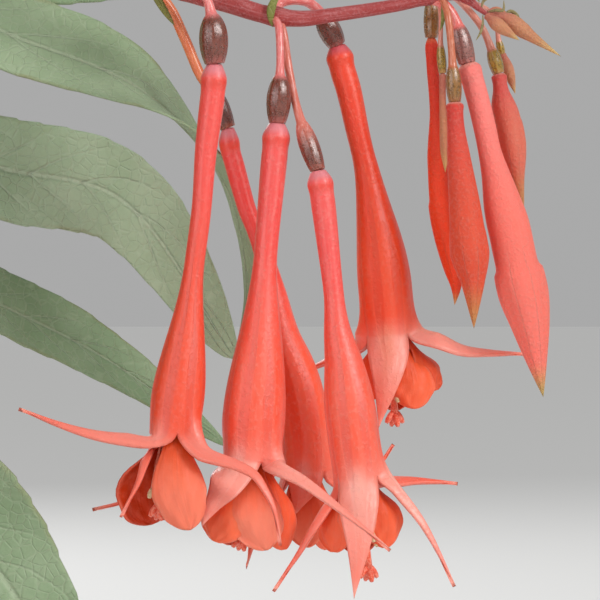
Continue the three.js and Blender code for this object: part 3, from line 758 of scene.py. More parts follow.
@dataclass(frozen=True)
class LeafFinish(Finish):
    """A matt sage leaf: pale midrib and side veins, a fine net between them and a worn margin."""

    deep: Colour = "708c62"
    pale: Colour = "a3b694"
    vein: Colour = "b2c0a2"
    margin: Colour = "8a8450"
    pairs: float = VEIN_PAIRS

    def dress(self, graph: Graph) -> Material:
        """Veins are lines of equal value of the way along less a share of the way to the margin.

        Args:
            graph: the empty tree.

        Returns:
            The material.
        """
        edge, tone = graph.mark("edge"), graph.mark("tone")
        flow = (graph.along * self.pairs - edge * VEIN_SWEEP).math("FRACT")
        ridge = (flow - 0.5).math("ABSOLUTE") * 2.0
        side = ridge.step(0.86, 0.99) * edge.step(1.05, 0.35)
        midrib = edge.step(0.09, 0.02)
        cells = {"Vector": graph.place, "Scale": 620.0}
        border = graph.node("TexVoronoi", {"feature": "DISTANCE_TO_EDGE"}, cells, "Distance")
        net = border.step(0.12, 0.0)
        patch = graph.noise(70, 3).step(0.3, 0.75)
        fine = graph.noise(1500, 2)
        # light mixes random patches and fine mottling with the leaf's tone, which on the near leaves is
        # partly painted light and shade.
        light = patch * 0.45 + tone * 0.35 + fine * 0.2
        shade = graph.mix(light, self.deep, self.pale)
        shade = graph.mix(net * 0.22, shade, self.vein)
        shade = graph.mix(side * 0.35 + midrib * 0.55, shade, self.vein)
        worn = edge.step(0.9, 1.0) * graph.noise(90, 2).step(0.4, 0.7)
        shade = graph.mix(worn * 0.6, shade, self.margin)
        height = fine * 0.25 - side * 0.45 - midrib * 0.6 - net * 0.25
        return graph.surface(shade, 0.55, graph.bump(height, 0.35), Sheen_Weight=0.08, Sheen_Roughness=0.5)


@dataclass(frozen=True)
class OvaryFinish(Finish):
    """A glossy ovary under a coloured stalk, finely speckled."""

    stalk: Colour = "e4706c"
    ovary: Colour = "702a14"
    speck: Colour = "b07a66"
    bloom: Colour = "f0b4ae"
    darkens: Pair = (0.98, 1.16)

    def dress(self, graph: Graph) -> Material:
        """The stalk's colour runs into the ovary's, whose skin is ribbed and pebbled all over.

        Args:
            graph: the empty tree.

        Returns:
            The material.
        """
        along = graph.along
        body = along.step(*self.darkens)
        cells = {"Vector": graph.place, "Scale": 2500.0}
        speck = graph.node("TexVoronoi", None, cells, "Distance").step(0.5, 0.1)
        rib = (graph.around * (TAU * RIBS)).math("COSINE") * 0.5 + 0.5
        skin = graph.mix(speck * 0.34 + rib * 0.08, self.ovary, self.speck)
        skin = graph.mix(along.step(1.8, 1.98) * 0.25, skin, self.stalk)
        bloom = graph.noise(2.0, 3, graph.wrapped(1.2, 6.0)).step(0.45, 0.75)
        shade = graph.mix(body, graph.mix(bloom * 0.75, self.stalk, self.bloom), skin)
        height = speck * (0.1 + 0.7 * body) + rib * body * 0.3
        normal = graph.bump(height, 0.3)
        return graph.surface(shade, 0.55 - 0.25 * body, normal, Coat_Weight=1.0, Coat_Roughness=0.26)


@dataclass(frozen=True)
class TubeFinish(Finish):
    """A velvety flower tube: dusty neck, coral top, softly streaked flare, paler sepals and keels."""

    top: Colour = "f44e4a"
    belly: Colour = "fa5230"
    streak: Colour = "e2381a"
    sepal: Colour = "fb9c8c"
    pale: Colour = "fbc0b2"
    neck: Colour = "e08890"
    tip: Colour = "f7bfae"
    blush: Pair = (0.85, 1.14)

    def dress(self, graph: Graph) -> Material:
        """Bands by the way along, eight drifting veins round the tube, and pale keels on the sepals.

        Args:
            graph: the empty tree.

        Returns:
            The material. On a sepal, tone is how pale it is: partly the sepal's own paleness, partly
            painted light on sepals that face the lamp.
        """
        along, edge, tone = graph.along, graph.mark("edge"), graph.mark("tone")
        drift = graph.noise(1.6, 2, graph.wrapped(0.9, 1.1))
        vein = ((graph.around + drift * 0.16) * (TAU * RIBS)).math("COSINE").step(0.35, 1.0)
        patch = graph.noise(2.4, 3, graph.wrapped(1.4, 1.8)).step(0.3, 0.7)
        speck = graph.noise(1500, 3).step(0.45, 0.75)
        cloud = graph.noise(16, 1).step(0.35, 0.65)
        shade = graph.mix(along.step(0.25, 0.8), self.top, self.belly)
        shade = graph.mix(cloud * 0.18, shade, self.streak)
        lower = along.step(0.3, 0.7) * along.step(1.5, 1.0)
        shade = graph.mix(vein * (0.4 + 0.6 * patch) * lower * 0.75, shade, self.streak)
        shade = graph.mix(speck * 0.12 + patch * 0.1, shade, self.pale)
        shade = graph.mix(along.step(0.044, 0.015) * 0.8, shade, self.neck)
        ring = along.step(0.036, 0.05) * along.step(0.08, 0.055)
        shade = graph.mix(ring * 0.45, shade, self.streak)
        # On the sepals, tone sets how much paler sepal colour they take: partly their own colour, partly
        # painted light where they face the lamp.
        blush = along.step(*self.blush) * (1.0 - 0.4 * along.step(1.3, 1.9))
        shade = graph.mix(blush * (0.1 + 0.9 * tone), shade, self.sepal)
        keel = edge.step(0.6, 0.0) * along.step(0.92, 1.02) * along.step(1.6, 1.05)
        shade = graph.mix(keel * 0.45 + along.step(1.0, 1.1) * vein * 0.1, shade, self.pale)
        shade = graph.mix(along.step(1.8, 1.97) * along.step(2.0, 1.97) * 0.35, shade, self.tip)
        height = speck * 0.5 - vein * lower * 0.5
        return graph.surface(
            shade, 0.4, graph.bump(height, 0.12), Coat_Weight=0.35, Coat_Roughness=0.36,
            Sheen_Weight=0.1, Sheen_Roughness=0.35, Sheen_Tint=self.pale,
            Subsurface_Weight=0.1, Subsurface_Scale=0.002,
        )


@dataclass(frozen=True)
class PetalFinish(Finish):
    """A thin petal: soft veins fan from its base, and its margin is a little paler."""

    base: Colour = "fe5714"
    deep: Colour = "b02a00"
    pale: Colour = "fe9078"

    def dress(self, graph: Graph) -> Material:
        """Fan veins are noise stretched along the petal; the base is deeper; a low tone paints shade and a
        high tone paints light.

        Args:
            graph: the empty tree.

        Returns:
            The material.
        """
        along, edge, tone = graph.along, graph.mark("edge"), graph.mark("tone")
        parts = {"X": graph.around * 15.0, "Y": along * 1.6, "Z": tone * 9.0}
        fan = graph.noise(1.0, 2, graph.node("CombineXYZ", None, parts)).step(0.4, 0.7)
        mottle = graph.noise(900, 3).step(0.4, 0.78)
        shade = graph.mix(along.step(0.6, 0.1) * 0.5 + fan * 0.12, self.base, self.deep)
        # Painted shade: a low tone darkens the whole petal towards deep.
        shade = graph.mix(tone.step(0.4, 0.0) * 0.85, shade, self.deep)
        # Painted light: a high tone lightens the petal towards pale; the paler margin and mottling are its
        # own colour.
        shade = graph.mix(tone * along.step(0.1, 0.7) * 0.75 + edge.step(0.8, 1.0) * 0.2, shade, self.pale)
        shade = graph.mix(mottle * 0.14, shade, self.pale)
        return graph.surface(
            shade, 0.45, graph.bump(fan * 0.5 + mottle * 0.5, 0.06),
            Specular_IOR_Level=0.3, Subsurface_Weight=0.15, Subsurface_Scale=0.002,
        )


@dataclass(frozen=True)
class BudFinish(Finish):
    """A fine-haired bud: red at the neck, coral on the belly, yellow-green at the tip."""

    top: Colour = "d64a4a"
    belly: Colour = "e2604a"
    tip: Colour = "c9a45c"
    hair: Colour = "f3b6a4"
    tip_from: float = 0.8

    def dress(self, graph: Graph) -> Material:
        """Bands by the way along, paler seams where the closed sepals meet, and dusty hairs.

        Args:
            graph: the empty tree.

        Returns:
            The material.
        """
        along = graph.along
        seam = (graph.around * (TAU * 4)).math("COSINE").math("ABSOLUTE").step(0.12, 0.0)
        dust = graph.noise(2300, 3).step(0.4, 0.75)
        streak = graph.noise(2.6, 3, graph.wrapped(2.0, 1.6)).step(0.4, 0.7)
        shade = graph.mix(along.step(0.1, 0.6), self.top, self.belly)
        shade = graph.mix(streak * 0.25, shade, self.top)
        shade = graph.mix(dust * 0.15 + seam * along.step(0.6, 0.7) * 0.25, shade, self.hair)
        shade = graph.mix(along.step(0.03, 0.0) * 0.6, shade, self.hair)
        shade = graph.mix(along.step(self.tip_from, 1.0), shade, self.tip)
        height = dust * 0.6 - seam * along.step(0.6, 0.7) * 0.6
        return graph.surface(
            shade, 0.6, graph.bump(height, 0.16),
            Sheen_Weight=0.15, Sheen_Roughness=0.4, Sheen_Tint=self.hair,
            Subsurface_Weight=0.08, Subsurface_Scale=0.002,
        )


@dataclass(frozen=True)
class StamenFinish(Finish):
    """Filaments and style, or anthers with their pollen."""

    base: Colour
    grain: Colour

    def dress(self, graph: Graph) -> Material:
        """A grainy mix of two colours.

        Args:
            graph: the empty tree.

        Returns:
            The material.
        """
        grain = graph.noise(3000, 2)
        shade = graph.mix(grain.step(0.4, 0.65), self.base, self.grain)
        return graph.surface(shade, 0.55, graph.bump(grain, 0.08), Sheen_Weight=0.2)


@dataclass(frozen=True)
class FloorFinish(Finish):
    """The plain pale floor."""

    base: Colour = (0.86, 0.86, 0.85, 1.0)

    def dress(self, graph: Graph) -> Material:
        """One matt colour."""
        return graph.surface(self.base, 1.0, Specular_IOR_Level=0.0)


BOWL = BowlPlastic("bowl_plastic")
WIRE = GalvanisedWire("galvanised_wire")
MIX = PottingMixFinish("potting_mix_crumb")
BARK = ChipFinish("bark_chip")
GRIT = ChipFinish("white_grit", "d9d6cc", "a9a497")
RACHIS = StemFinish("rachis_skin", "6f6244", "a03634", "dc9698", turn=(0.2, 0.42))
LEAFY = StemFinish("leafy_stem_skin", "6a6542", "8f5248", turn=(0.3, 0.9))
SHOOT_SKIN = StemFinish("shoot_skin", "64643f", "b5555a")
BRACT = LeafFinish("bract_green", "55602a", "8c8c3c", "a8a860", pairs=5.0)
DUSTY_BRACT = LeafFinish("dusty_bract", "75683e", "a8926a", "bca888", pairs=5.0)
LEAF = LeafFinish("sage_leaf")
LIT_LEAF = LeafFinish("lit_sage_leaf", "829c76", "b2c4a6", "bccab0")
FAR_LEAF = LeafFinish("garden_leaf", "53703f", "819a66", "9bab7c")
TUBE = TubeFinish("coral_tube")
TUBE_DEEP = TubeFinish("deep_coral_tube", "f44e46", "f74c26", "d83412", pale="f9988a", blush=(0.96, 1.14))
# The flower behind the others, in their shadow, wears a copy of the coral tube painted more saturated, with
# a brighter belly and streaks, to make up for that shade.
TUBE_BACK = TubeFinish("shaded_tube", "f63c3a", "ff5a30", "f6461c", sepal="fb8672")
TUBE_ORANGE = TubeFinish(
    "orange_tube", "f23a14", "fb4814", "e43606", pale="fb9a78", neck="e0606c", blush=(0.92, 1.06)
)
PETAL = PetalFinish("orange_petal")
FILAMENT = StamenFinish("filament", "ee7a5e", "f5a890")
STIGMA = StamenFinish("stigma", "ee5c3c", "fb9078")
ANTHER = StamenFinish("cream_anther", "ead7ac", "c9a878")
OVARY_BROWN = OvaryFinish("brown_ovary")
OVARY_RUST = OvaryFinish("rust_ovary", "e0703e", "5c2418", bloom="e89a6a")
OVARY_TAN = OvaryFinish("tan_ovary", "d9705c", darkens=(1.0, 1.65))
OVARY_PURPLE = OvaryFinish("purple_ovary", "f07068", "92584f", "c8a098")
OVARY_OLIVE = OvaryFinish("olive_ovary", "c4643c", "8e5c14", "b08440", "dc9a84")
OVARY_GREEN = OvaryFinish("green_ovary", "dc8a74", "a8841c", "c0a858", "ecb4a8")
BUD_RED = BudFinish("red_bud", "e0341c", "ee4008", "cf9a5a", "f08a60", 0.9)
BUD_CORAL = BudFinish("coral_bud", "d2382c", "e04a28", "c4884c", tip_from=0.82)
BUD_SALMON = BudFinish("salmon_bud", "fc8078", "f97262", "b89f5c", tip_from=0.92)
BUD_DUSTY = BudFinish("dusty_bud", "d65048", "dc6a52", "bd8a50", tip_from=0.75)
BUD_YOUNG = BudFinish("young_bud", "bc6c58", "c4845c", "d0b070", tip_from=0.75)
FLOWER_FINISHES = (TUBE, PETAL, OVARY_BROWN, FILAMENT, ANTHER, BUD_CORAL)


class Wear(IntEnum):
    """The place of each finish in a background flower piece."""

    TUBE = 0
    PETAL = 1
    OVARY = 2
    FILAMENT = 3
    ANTHER = 4
    BUD = 5


# ---- flowers
# The way down a tube where it starts to take its sepals' marks and its mouth's radius.
MOUTH_FROM = 0.88


class Counts(NamedTuple):
    """Rows of a flower's surfaces, columns of a sepal and a petal, and half the points round an ovary."""

    tube: int
    sector: int
    sepal: int
    petal: int
    petal_columns: int
    sides: int


class Detail(Counts, Enum):
    """How finely a flower is drawn."""

    CLOSE = (84, 12, 34, 26, 21, 20)
    DISTANT = (12, 4, 7, 7, 5, 6)


@dataclass(frozen=True)
class SepalPlan:
    """A sepal.

    places is its midline from below the mouth to its tip, base and facing are the azimuths of its
    base on the mouth and of its outer face, fold is how deeply it folds along its keel, share is how
    much of the mouth it takes against its neighbours, and tone is how pale it is: partly its own
    paleness, partly painted light where it faces the lamp.
    """

    places: Array
    half_width: float
    base: float
    facing: float
    fold: float = 0.7
    share: float = 1.0
    tone: float = 0.5


@dataclass(frozen=True)
class PetalPlan:
    """A petal.

    Its midline stands out most at its shoulder and ends at its tip, facing is its outer face's
    azimuth, tone is 0 for a petal painted deep as shade and 1 for one painted pale as light, and skew
    is how far its end leans aside, as a share of its half width.
    """

    shoulder: Array
    tip: Array
    half_width: float
    facing: float
    tone: float = 0.5
    skew: float = 0.0


def ovary_grid(stalk: Route, sizes: Pair, sides: int, tone: float, finish: int) -> Grid:
    """A pedicel and its ovary: a thin stalk, then the rise and fall of a half sine.

    Args:
        stalk: the line, whose second half is the ovary.
        sizes: the stalk's radius and the ovary's largest.
        sides: half the points round it.
        tone: the grid's tone.
        finish: the finish's number.

    Returns:
        The limb, whose map runs from 0 to 1 on the stalk and on to 2 on the ovary.
    """
    split = 0.5
    part = evenly(2 * sides)
    ways = np.concatenate([np.linspace(0, split, sides, endpoint=False), split + part * 0.5])
    body = np.clip((ways - split) / (1 - split), 0, 1)
    thin = sizes[0] * (1 + 0.15 * smooth(0.4, 0.5, ways))
    bulge = (sizes[1] - thin) * np.sin(math.pi * (0.01 + 0.88 * body**0.96)) ** 0.72
    radii = np.where(ways < split, thin, thin + bulge)
    angle = np.linspace(0, TAU, 2 * sides, endpoint=False)
    ribs = 1 + 0.02 * np.cos(RIBS * angle)[None] * smooth(0.05, 0.3, body)[:, None]
    grid = limb(stalk, ways, radii, len(angle), swell=ribs, tone=tone, finish=finish)
    grid.ways = grid.ways * 2
    return grid


@dataclass(frozen=True)
class Flower:
    """An open flower, from its stalk down to its petals.

    The stalk is the pedicel's line and the ovary's, in halves. radii are the tube's at its collar,
    waist, belly and mouth, flare is the ways down the tube where its flare starts and ends, and
    style_end is where the stigma hangs, or None.
    """

    name: str
    stalk: Route
    ovary_radius: float
    tube: Route
    radii: tuple[float, float, float, float]
    flare: Pair
    sepals: Sequence[SepalPlan]
    petals: Sequence[PetalPlan]
    style_end: Array | None = None
    tone: float = 0.3
    stalk_radius: float = 0.62
    finish: Finish = TUBE
    ovary_finish: Finish = OVARY_BROWN
    detail: Detail = Detail.CLOSE

    @property
    def mouth(self) -> Array:
        """The middle of the tube's mouth."""
        return self.tube.one(1.0)

    def tube_radii(self, ways: Array) -> Array:
        """The tube's radius: a narrow neck, a round collar, a slow waist, a flare and the mouth.

        Args:
            ways: how far down the tube.

        Returns:
            The radius at each way, in millimetres.
        """
        collar, waist, belly, mouth = self.radii
        neck = 0.58 + 0.42 * np.sin(math.pi / 2 * np.clip(ways / 0.042, 0, 1))
        groove = 0.02 * np.exp(-(((ways - 0.08) / 0.014) ** 2))
        lip = 0.06 * np.exp(-(((ways - 0.045) / 0.016) ** 2)) - groove
        narrowing = collar + (waist - collar) * smooth(0.05, 0.4, ways)
        flare = (belly - waist) * smooth(*self.flare, ways)
        return (narrowing * (1 + lip) + flare) * neck + (mouth - belly) * smooth(MOUTH_FROM, 1, ways)

    def ovary_grid(self, finish: int = 0) -> Grid:
        """The pedicel and the ovary."""
        sizes = (self.stalk_radius, self.ovary_radius)
        return ovary_grid(self.stalk, sizes, self.detail.sides, self.tone, finish)

    def calyx_grids(self, finish: int = 0) -> list[Grid]:
        """The tube, whose mouth divides into sectors that run on as the four sepals.

        Near the mouth, each sector's middle leaves the tube outwards and upwards by the square of
        the way, as far as its sepal stands out.

        Args:
            finish: the finish's number.

        Returns:
            The tube and the four sepals.
        """
        ways = evenly(self.detail.tube) ** 1.2
        centres, along, first, second = frames_on(self.tube, ways, DEPTH)
        outward = [polar(1, sepal.base, 0) for sepal in self.sepals]
        angles = np.array([math.atan2(way @ second[-1], way @ first[-1]) % TAU for way in outward])
        order = np.argsort(angles)
        shares = np.array([self.sepals[index].share for index in order])
        gaps = np.diff(np.append(angles[order], angles[order[0]] + TAU))
        ends = angles[order] + gaps * shares / (shares + np.roll(shares, -1))
        starts = np.append(ends[-1] - TAU, ends[:-1])
        spread = evenly(self.detail.sector + 1)
        sectors = [start + (end - start) * spread for start, end in zip(starts, ends)]
        angle = np.concatenate([sector[:-1] for sector in sectors])
        bends = [self._bend(self.sepals[index]) for index in order]
        rise = np.concatenate([bend * np.sin(math.pi * spread[:-1]) ** 1.5 for bend in bends])
        rim = np.clip((ways - 0.87) / 0.13, 0, 1)[:, None] ** 2
        ribs = 1 + 0.012 * np.cos(RIBS * angle)[None] * smooth(0.4, 0.8, ways)[:, None]
        radius = (self.tube_radii(ways)[:, None] * ribs)[..., None]
        turn = np.cos(angle)[:, None] * first[:, None] + np.sin(angle)[:, None] * second[:, None]
        points = centres[:, None] + radius * turn
        points = points + (rim * rise)[..., None] * (1.2 * turn - 0.9 * along[:, None])
        far = np.tile(np.abs(2 * spread[:-1] - 1), len(order))
        low = smooth(MOUTH_FROM, 1, ways)[:, None]
        edge = 1 - (1 - far) * low
        # Each sepal's tone, its paleness partly painted light, carries onto the tube near the mouth.
        shade = np.repeat([self.sepals[index].tone for index in order], len(spread) - 1)
        tone = self.tone + (shade - self.tone) * low
        around = np.append(angle, angle[0] + TAU) / TAU
        grids = [Grid(points, ways, around, closed=True, edge=edge, tone=tone, finish=finish)]
        leave = unit(points[-1] - points[-2])
        for number, index in enumerate(order):
            columns = (np.arange(self.detail.sector + 1) + number * self.detail.sector) % len(angle)
            base, down = points[-1, columns], leave[columns]
            grids.append(self._sepal_grid(self.sepals[index], base, down, sectors[number], finish))
        return grids

    def _bend(self, plan: SepalPlan) -> float:
        """How far a sepal turns out at the mouth: 0 for one that hangs, 1 for one that stands out."""
        away = unit(plan.places[1] - self.mouth - polar(self.radii[3], plan.base, 0))
        return float(smooth(0.3, 0.85, away @ polar(1, plan.base, 0)))

    def _sepal_grid(self, plan: SepalPlan, base: Array, down: Array, sector: Array, finish: int) -> Grid:
        """One sepal, from its arc of the tube's mouth to its tip.

        A point is a blend from the tube's wall carried straight on to a folded blade: its midline,
        plus the side direction times width and q, plus a fold that grows with q to 1.5.

        Args:
            plan: the sepal.
            base: the arc's points.
            down: the wall's direction at each of them.
            sector: the arc's angles.
            finish: the finish it wears.

        Returns:
            Its sheet, whose half width falls as what is left of the way.
        """
        outward = polar(1, plan.base, 0)
        route = Even(Spline(np.vstack([base[len(base) // 2], plan.places])))
        ways = evenly(self.detail.sepal) ** 1.15
        chord = np.linalg.norm(base[-1] - base[0]) / 2
        width = chord + (plan.half_width - chord) * smooth(0.0, 0.22, ways)
        width = width * (1 - ways) * (1 + 0.35 * ways * (1 - ways))
        turned_to = smooth(0.0, 0.35, ways)[:, None]
        side = np.cross(outward, UP) * (1 - turned_to) + np.cross(polar(1, plan.facing, 0), UP) * turned_to
        heights = plan.fold * np.abs(np.linspace(-1, 1, len(base))) ** 1.5 * (1 - 0.25 * ways[:, None])
        sheet = blade(route, ways, width, side, heights, tone=plan.tone, finish=finish)
        length = np.linalg.norm(np.diff(plan.places, axis=0), axis=1).sum()
        carried = base[None] + down[None] * (ways * length * 0.8)[:, None, None]
        taken = smooth(0.0, min(0.4, (5.0 - 2.6 * self._bend(plan)) / length), ways)[:, None, None]
        sheet.points = carried * (1 - taken) + sheet.points * taken
        sheet.ways, sheet.around = 1 + ways, sector / TAU
        return sheet

    def petal_grids(self, finish: int = 0) -> list[Grid]:
        """The petals: cupped sheets, each with one margin inside its neighbour and one outside."""
        return [self._petal_grid(plan, number, finish) for number, plan in enumerate(self.petals)]

    def _petal_grid(self, plan: PetalPlan, number: int, finish: int) -> Grid:
        """One petal: a claw that widens to an oval end, with a shallow wave along its margin.

        Args:
            plan: the petal.
            number: its place among the four, which sets its waves.
            finish: the finish it wears.

        Returns:
            Its sheet, cupped as the square of q, with one margin lifted outside its neighbour's.
        """
        outward = unit((plan.shoulder - self.mouth) * np.array([1.0, 1.0, 0.0]))
        root = self.mouth + outward * 1.5 + UP * 1.2
        route = Spline(np.vstack([root, plan.shoulder, plan.tip]))
        ways = 1 - (1 - evenly(self.detail.petal)) ** 1.6
        widest = 0.56
        claw = 0.3 + 0.7 * smooth(0.0, widest, ways)
        end = np.sqrt(np.clip(1 - (np.clip(ways - widest, 0, 1) / (1 - widest)) ** 2.3, 0, 1))
        phase = 2.1 * number + 5 * self.tone
        end = end * (1 + 0.03 * np.sin(21 * ways + phase) * smooth(0.35, 0.6, ways))
        claw_side = np.cross(outward, UP)
        face_side = np.cross(polar(1, plan.facing, 0), UP)
        turned_to = smooth(0.1, 0.5, ways)[:, None]
        side = claw_side * (1 - turned_to) + face_side * turned_to
        way, across = ways[:, None], np.linspace(-1, 1, self.detail.petal_columns)[None]
        cup = 0.34 * across**2
        lap = 0.16 * across * smooth(0.1, 0.5, way)
        wave = 0.12 * np.sin(6.5 * across + 8 * way + phase) * smooth(0.3, 0.9, way) * np.abs(across)
        crinkle = 0.02 * np.sin(11 * across - 17 * way + 2 * phase) * smooth(0.25, 0.6, way)
        width, heights = plan.half_width * claw * end, cup + lap + wave + crinkle
        sheet = blade(route, ways, width, side, heights, tone=plan.tone, finish=finish)
        lean = plan.skew * plan.half_width * smooth(0.5, 1, way) * (1 - np.abs(across))
        sheet.points = sheet.points + face_side * lean[..., None]
        return sheet

    def stamen_grids(self, filament: int = 0, anther: int = 1, stigma: int = 2) -> list[Grid]:
        """Filaments on a ring inside the corolla, an anther on each, and the longer style.

        Args:
            filament: the filaments' finish.
            anther: the anthers' finish.
            stigma: the style's and the stigma's finish.

        Returns:
            Round limbs and balls; the stigma is four longer balls that spread.
        """
        grids: list[Grid] = []
        count = sides = 8 if self.detail is Detail.CLOSE else 4
        hang = -UP if self.style_end is None else unit(self.style_end - self.mouth)
        for number in range(count):
            turn = polar(1.0, 360 * number / count + 200 * self.tone, 0.0)
            drop = 6.6 + 3.6 * wobble(self.tone * 10 + 3, number)
            start = self.mouth + turn * 1.2 + UP * 1.5
            end = self.mouth + turn * (1.2 + 0.8 * wobble(self.tone * 7, number)) + hang * drop
            route = Bezier([start, (start + end) / 2 + turn * 0.3, end])
            ways = evenly(5)
            grids.append(limb(route, ways, np.full(5, 0.17), sides, finish=filament))
            axis = unit(turn * 0.4 - UP)
            grids.append(ball(end, np.array([0.48, 0.95]), axis, sides=sides, finish=anther, tone=0.6))
        if self.style_end is not None:
            start = self.mouth + UP * 1.5
            bend = (start + self.style_end) / 2 + np.array([0.0, 0.0, 1.5])
            route = Bezier([start, bend, self.style_end])
            ways = evenly(8)
            grids.append(limb(route, ways, 0.3 + 0.3 * ways**3, sides, finish=stigma))
            for lobe in range(4):
                tilt = polar(0.75, 90 * lobe + 20, 0.0)
                place = self.style_end + tilt - UP * (0.5 + 0.5 * (lobe % 2))
                axis = unit(tilt * 0.9 - UP)
                grids.append(ball(place, np.array([0.52, 1.3]), axis, sides=sides, finish=stigma))
        return grids

    def build(self) -> None:
        """Adds the flower's four pieces, each standing for its node."""
        node, calyx, petals, ovary = self.name, self.calyx_grids(), self.petal_grids(), self.ovary_grid()
        wall = {"thickness": 0.55, "offset": -1}
        add_piece(f"{node}_calyx_skin", calyx, [self.finish], "calyx", [f"{node}_calyx"], **wall)
        add_piece(f"{node}_petals", petals, [PETAL], "petal", [f"{node}_corolla"], thickness=0.32)
        add_piece(f"{node}_ovary_skin", [ovary], [self.ovary_finish], "ovary", [f"{node}_ovary"])
        finishes = [FILAMENT, ANTHER, STIGMA]
        add_piece(f"{node}_anthers", self.stamen_grids(), finishes, "stamen", [f"{node}_stamens"])


@dataclass(frozen=True)
class Bud:
    """A closed flower with its pedicel and ovary.

    Its radius goes from waist to belly over the ways in rise, and tapers from the shoulder on, by a
    power, point, of which a higher one is blunter. At the flange the sepals' bases stand proud by
    step, and at the neck a collar does by lip, both as shares of the radius.
    """

    name: str
    stalk: Route
    ovary_radius: float
    body: Route
    waist: float
    belly: float
    rise: Pair
    shoulder: float
    flange: float = 0.6
    step: float = 0.04
    lip: float = 0.08
    point: float = 1.4
    finishes: tuple[Finish, Finish] = (OVARY_OLIVE, BUD_CORAL)
    stalk_radius: float = 0.55
    rows: int = 110
    sides: int = 40
    ovary_sides: int = 20

    def body_grid(self, finish: int = 1) -> Grid:
        """The closed flower: neck, swelling and a four-sided taper, grooved where sepals meet.

        Args:
            finish: the finish's number.

        Returns:
            The limb, from neck to tip.
        """
        ways = evenly(self.rows)
        swelling = self.waist + (self.belly - self.waist) * smooth(*self.rise, ways)
        left = np.clip((ways - self.shoulder) / (1 - self.shoulder), 0, 1)
        taper = np.clip(1 - left**self.point, 0, 1)
        neck = 0.6 + 0.4 * np.sin(math.pi / 2 * np.clip(ways / 0.035, 0, 1)) ** 0.85
        lip = 1 + self.lip * np.exp(-(((ways - 0.045) / 0.028) ** 2))
        angle = np.linspace(0, TAU, self.sides, endpoint=False)
        sharp = smooth(self.flange - 0.03, self.flange + 0.08, ways)[:, None]
        groove = np.exp(-((np.cos(2 * angle) / 0.2) ** 2))[None]
        section = 1 + sharp * (0.05 * np.abs(np.cos(2 * angle))[None] - 0.06 * groove)
        step = smooth(self.flange - 0.008, self.flange + 0.01, ways) * (1 - 0.6 * smooth(0.75, 1, ways))
        section = section * (1 + self.step * step)[:, None]
        radii = swelling * taper * neck * lip
        return limb(self.body, ways, radii, self.sides, swell=section, finish=finish)

    def grids(self) -> list[Grid]:
        """The stalk with its ovary, and the closed flower."""
        sizes = (self.stalk_radius, self.ovary_radius)
        return [ovary_grid(self.stalk, sizes, self.ovary_sides, 0.3, 0), self.body_grid(1)]

    def build(self) -> None:
        """Adds the bud as one piece in two finishes."""
        add_piece(f"{self.name}_skin", self.grids(), self.finishes, "bud", [self.name])


def stalk_route(pedicel: Places, top: Place) -> Route:
    """A pedicel's line on to the flower's top, read so that its second half is the ovary."""
    points = as_seen([*pedicel, top])
    return HalvedRoute(Spline(points), (len(points) - 2) / (len(points) - 1))


def hero_flower(
    name: str, pedicel: Places, tube: Places, sepals: Sequence[tuple], petals: Sequence[tuple],
    style_end: Place | None = None, **facts: object,
) -> Flower:
    """A flower of the near cluster, from places on the shoot in flower.

    Args:
        name: its name.
        pedicel: the stalk, from the stem to the ovary.
        tube: the tube's middle line.
        sepals: places, half width, base, facing and fold of each.
        petals: shoulder, tip, half width, facing, tone and skew of each.
        style_end: where the stigma hangs.
        **facts: the flower's other measures.

    Returns:
        The flower.
    """
    return Flower(
        name=name,
        stalk=stalk_route(pedicel, tube[0]),
        tube=Even(Spline(as_seen(tube))),
        sepals=[SepalPlan(as_seen(places), *rest) for places, *rest in sepals],
        petals=[PetalPlan(*as_seen([shoulder, tip]), *rest) for shoulder, tip, *rest in petals],
        style_end=None if style_end is None else as_seen([style_end])[0],
        **facts,
    )


def hero_bud(name: str, pedicel: Places, body: Places, **facts: object) -> Bud:
    """A bud of the near cluster, from places on the shoot in flower."""
    return Bud(name=name, stalk=stalk_route(pedicel, body[0]), body=Spline(as_seen(body)), **facts)


# In the flowers below, the sepals' and petals' tones are partly painted light and shade: high for those
# that face the lamp, low for those in shade.
FLOWER_1 = hero_flower(
    "flower_1",
    [(-17.2, 0, 46.2), (-16.6, -5, 46.8), (-14.4, -8.4, 46), (-13.3, -9, 42.8)],
    level(-9, -12.8, 35.4, -13.1, 30.8, -14.1, 22.5, -14.8, 13.5, -15.8, 5.7, -16.9, -3.8,
          -17.8, -10.8, -18.6, -16.8, -18.8, -19.8),
    [
        ([(-24.9, -10.6, -19.9), (-30.6, -10.8, -19.5), (-36.4, -11, -18.1), (-42.1, -11, -16.1)],
         2.4, -128, -176, 0.9, 1.5, 0.55),
        ([(-13.9, -13, -21.9), (-9, -14.6, -24.1), (-6.3, -15.4, -25.8), (-4.8, -16, -28.2),
          (-3.6, -16.3, -31), (-2.7, -16.4, -36.8)], 2.1, -52, -20, 0.85, 1, 0.45),
        ([(-21.5, -1.5, -27), (-26.7, 1, -30), (-31.2, 1, -31.2)], 1.5, 60, 150, 0.7, 1, 0.3),
        ([(-23.4, -11, -23.7), (-24.6, -13.4, -27.6), (-27.1, -13.8, -32.5)],
         1.3, 150, -130, 0.5, 1, 0.3),
    ],
    [
        ((-18.2, -13.2, -27.4), (-16.8, -12.4, -34.4), 3.9, -84, 0.82, -0.1),
        ((-23.6, -6.8, -28), (-22.2, -6.4, -33.6), 4.4, 112, 0.02, -0.1),
        ((-15.4, -8, -27), (-15, -7.6, -32), 2.8, 0, 0.3, 0),
        ((-19.5, -5, -27.5), (-20, -4.4, -33), 3.8, 100, 0.12, 0),
    ],
    (-21.2, -9.5, -31),
    ovary_radius=2.12, radii=(1.85, 1.47, 3.95, 3.7), flare=(0.535, 0.93), tone=0.22, stalk_radius=0.7,
    finish=TUBE_DEEP,
)
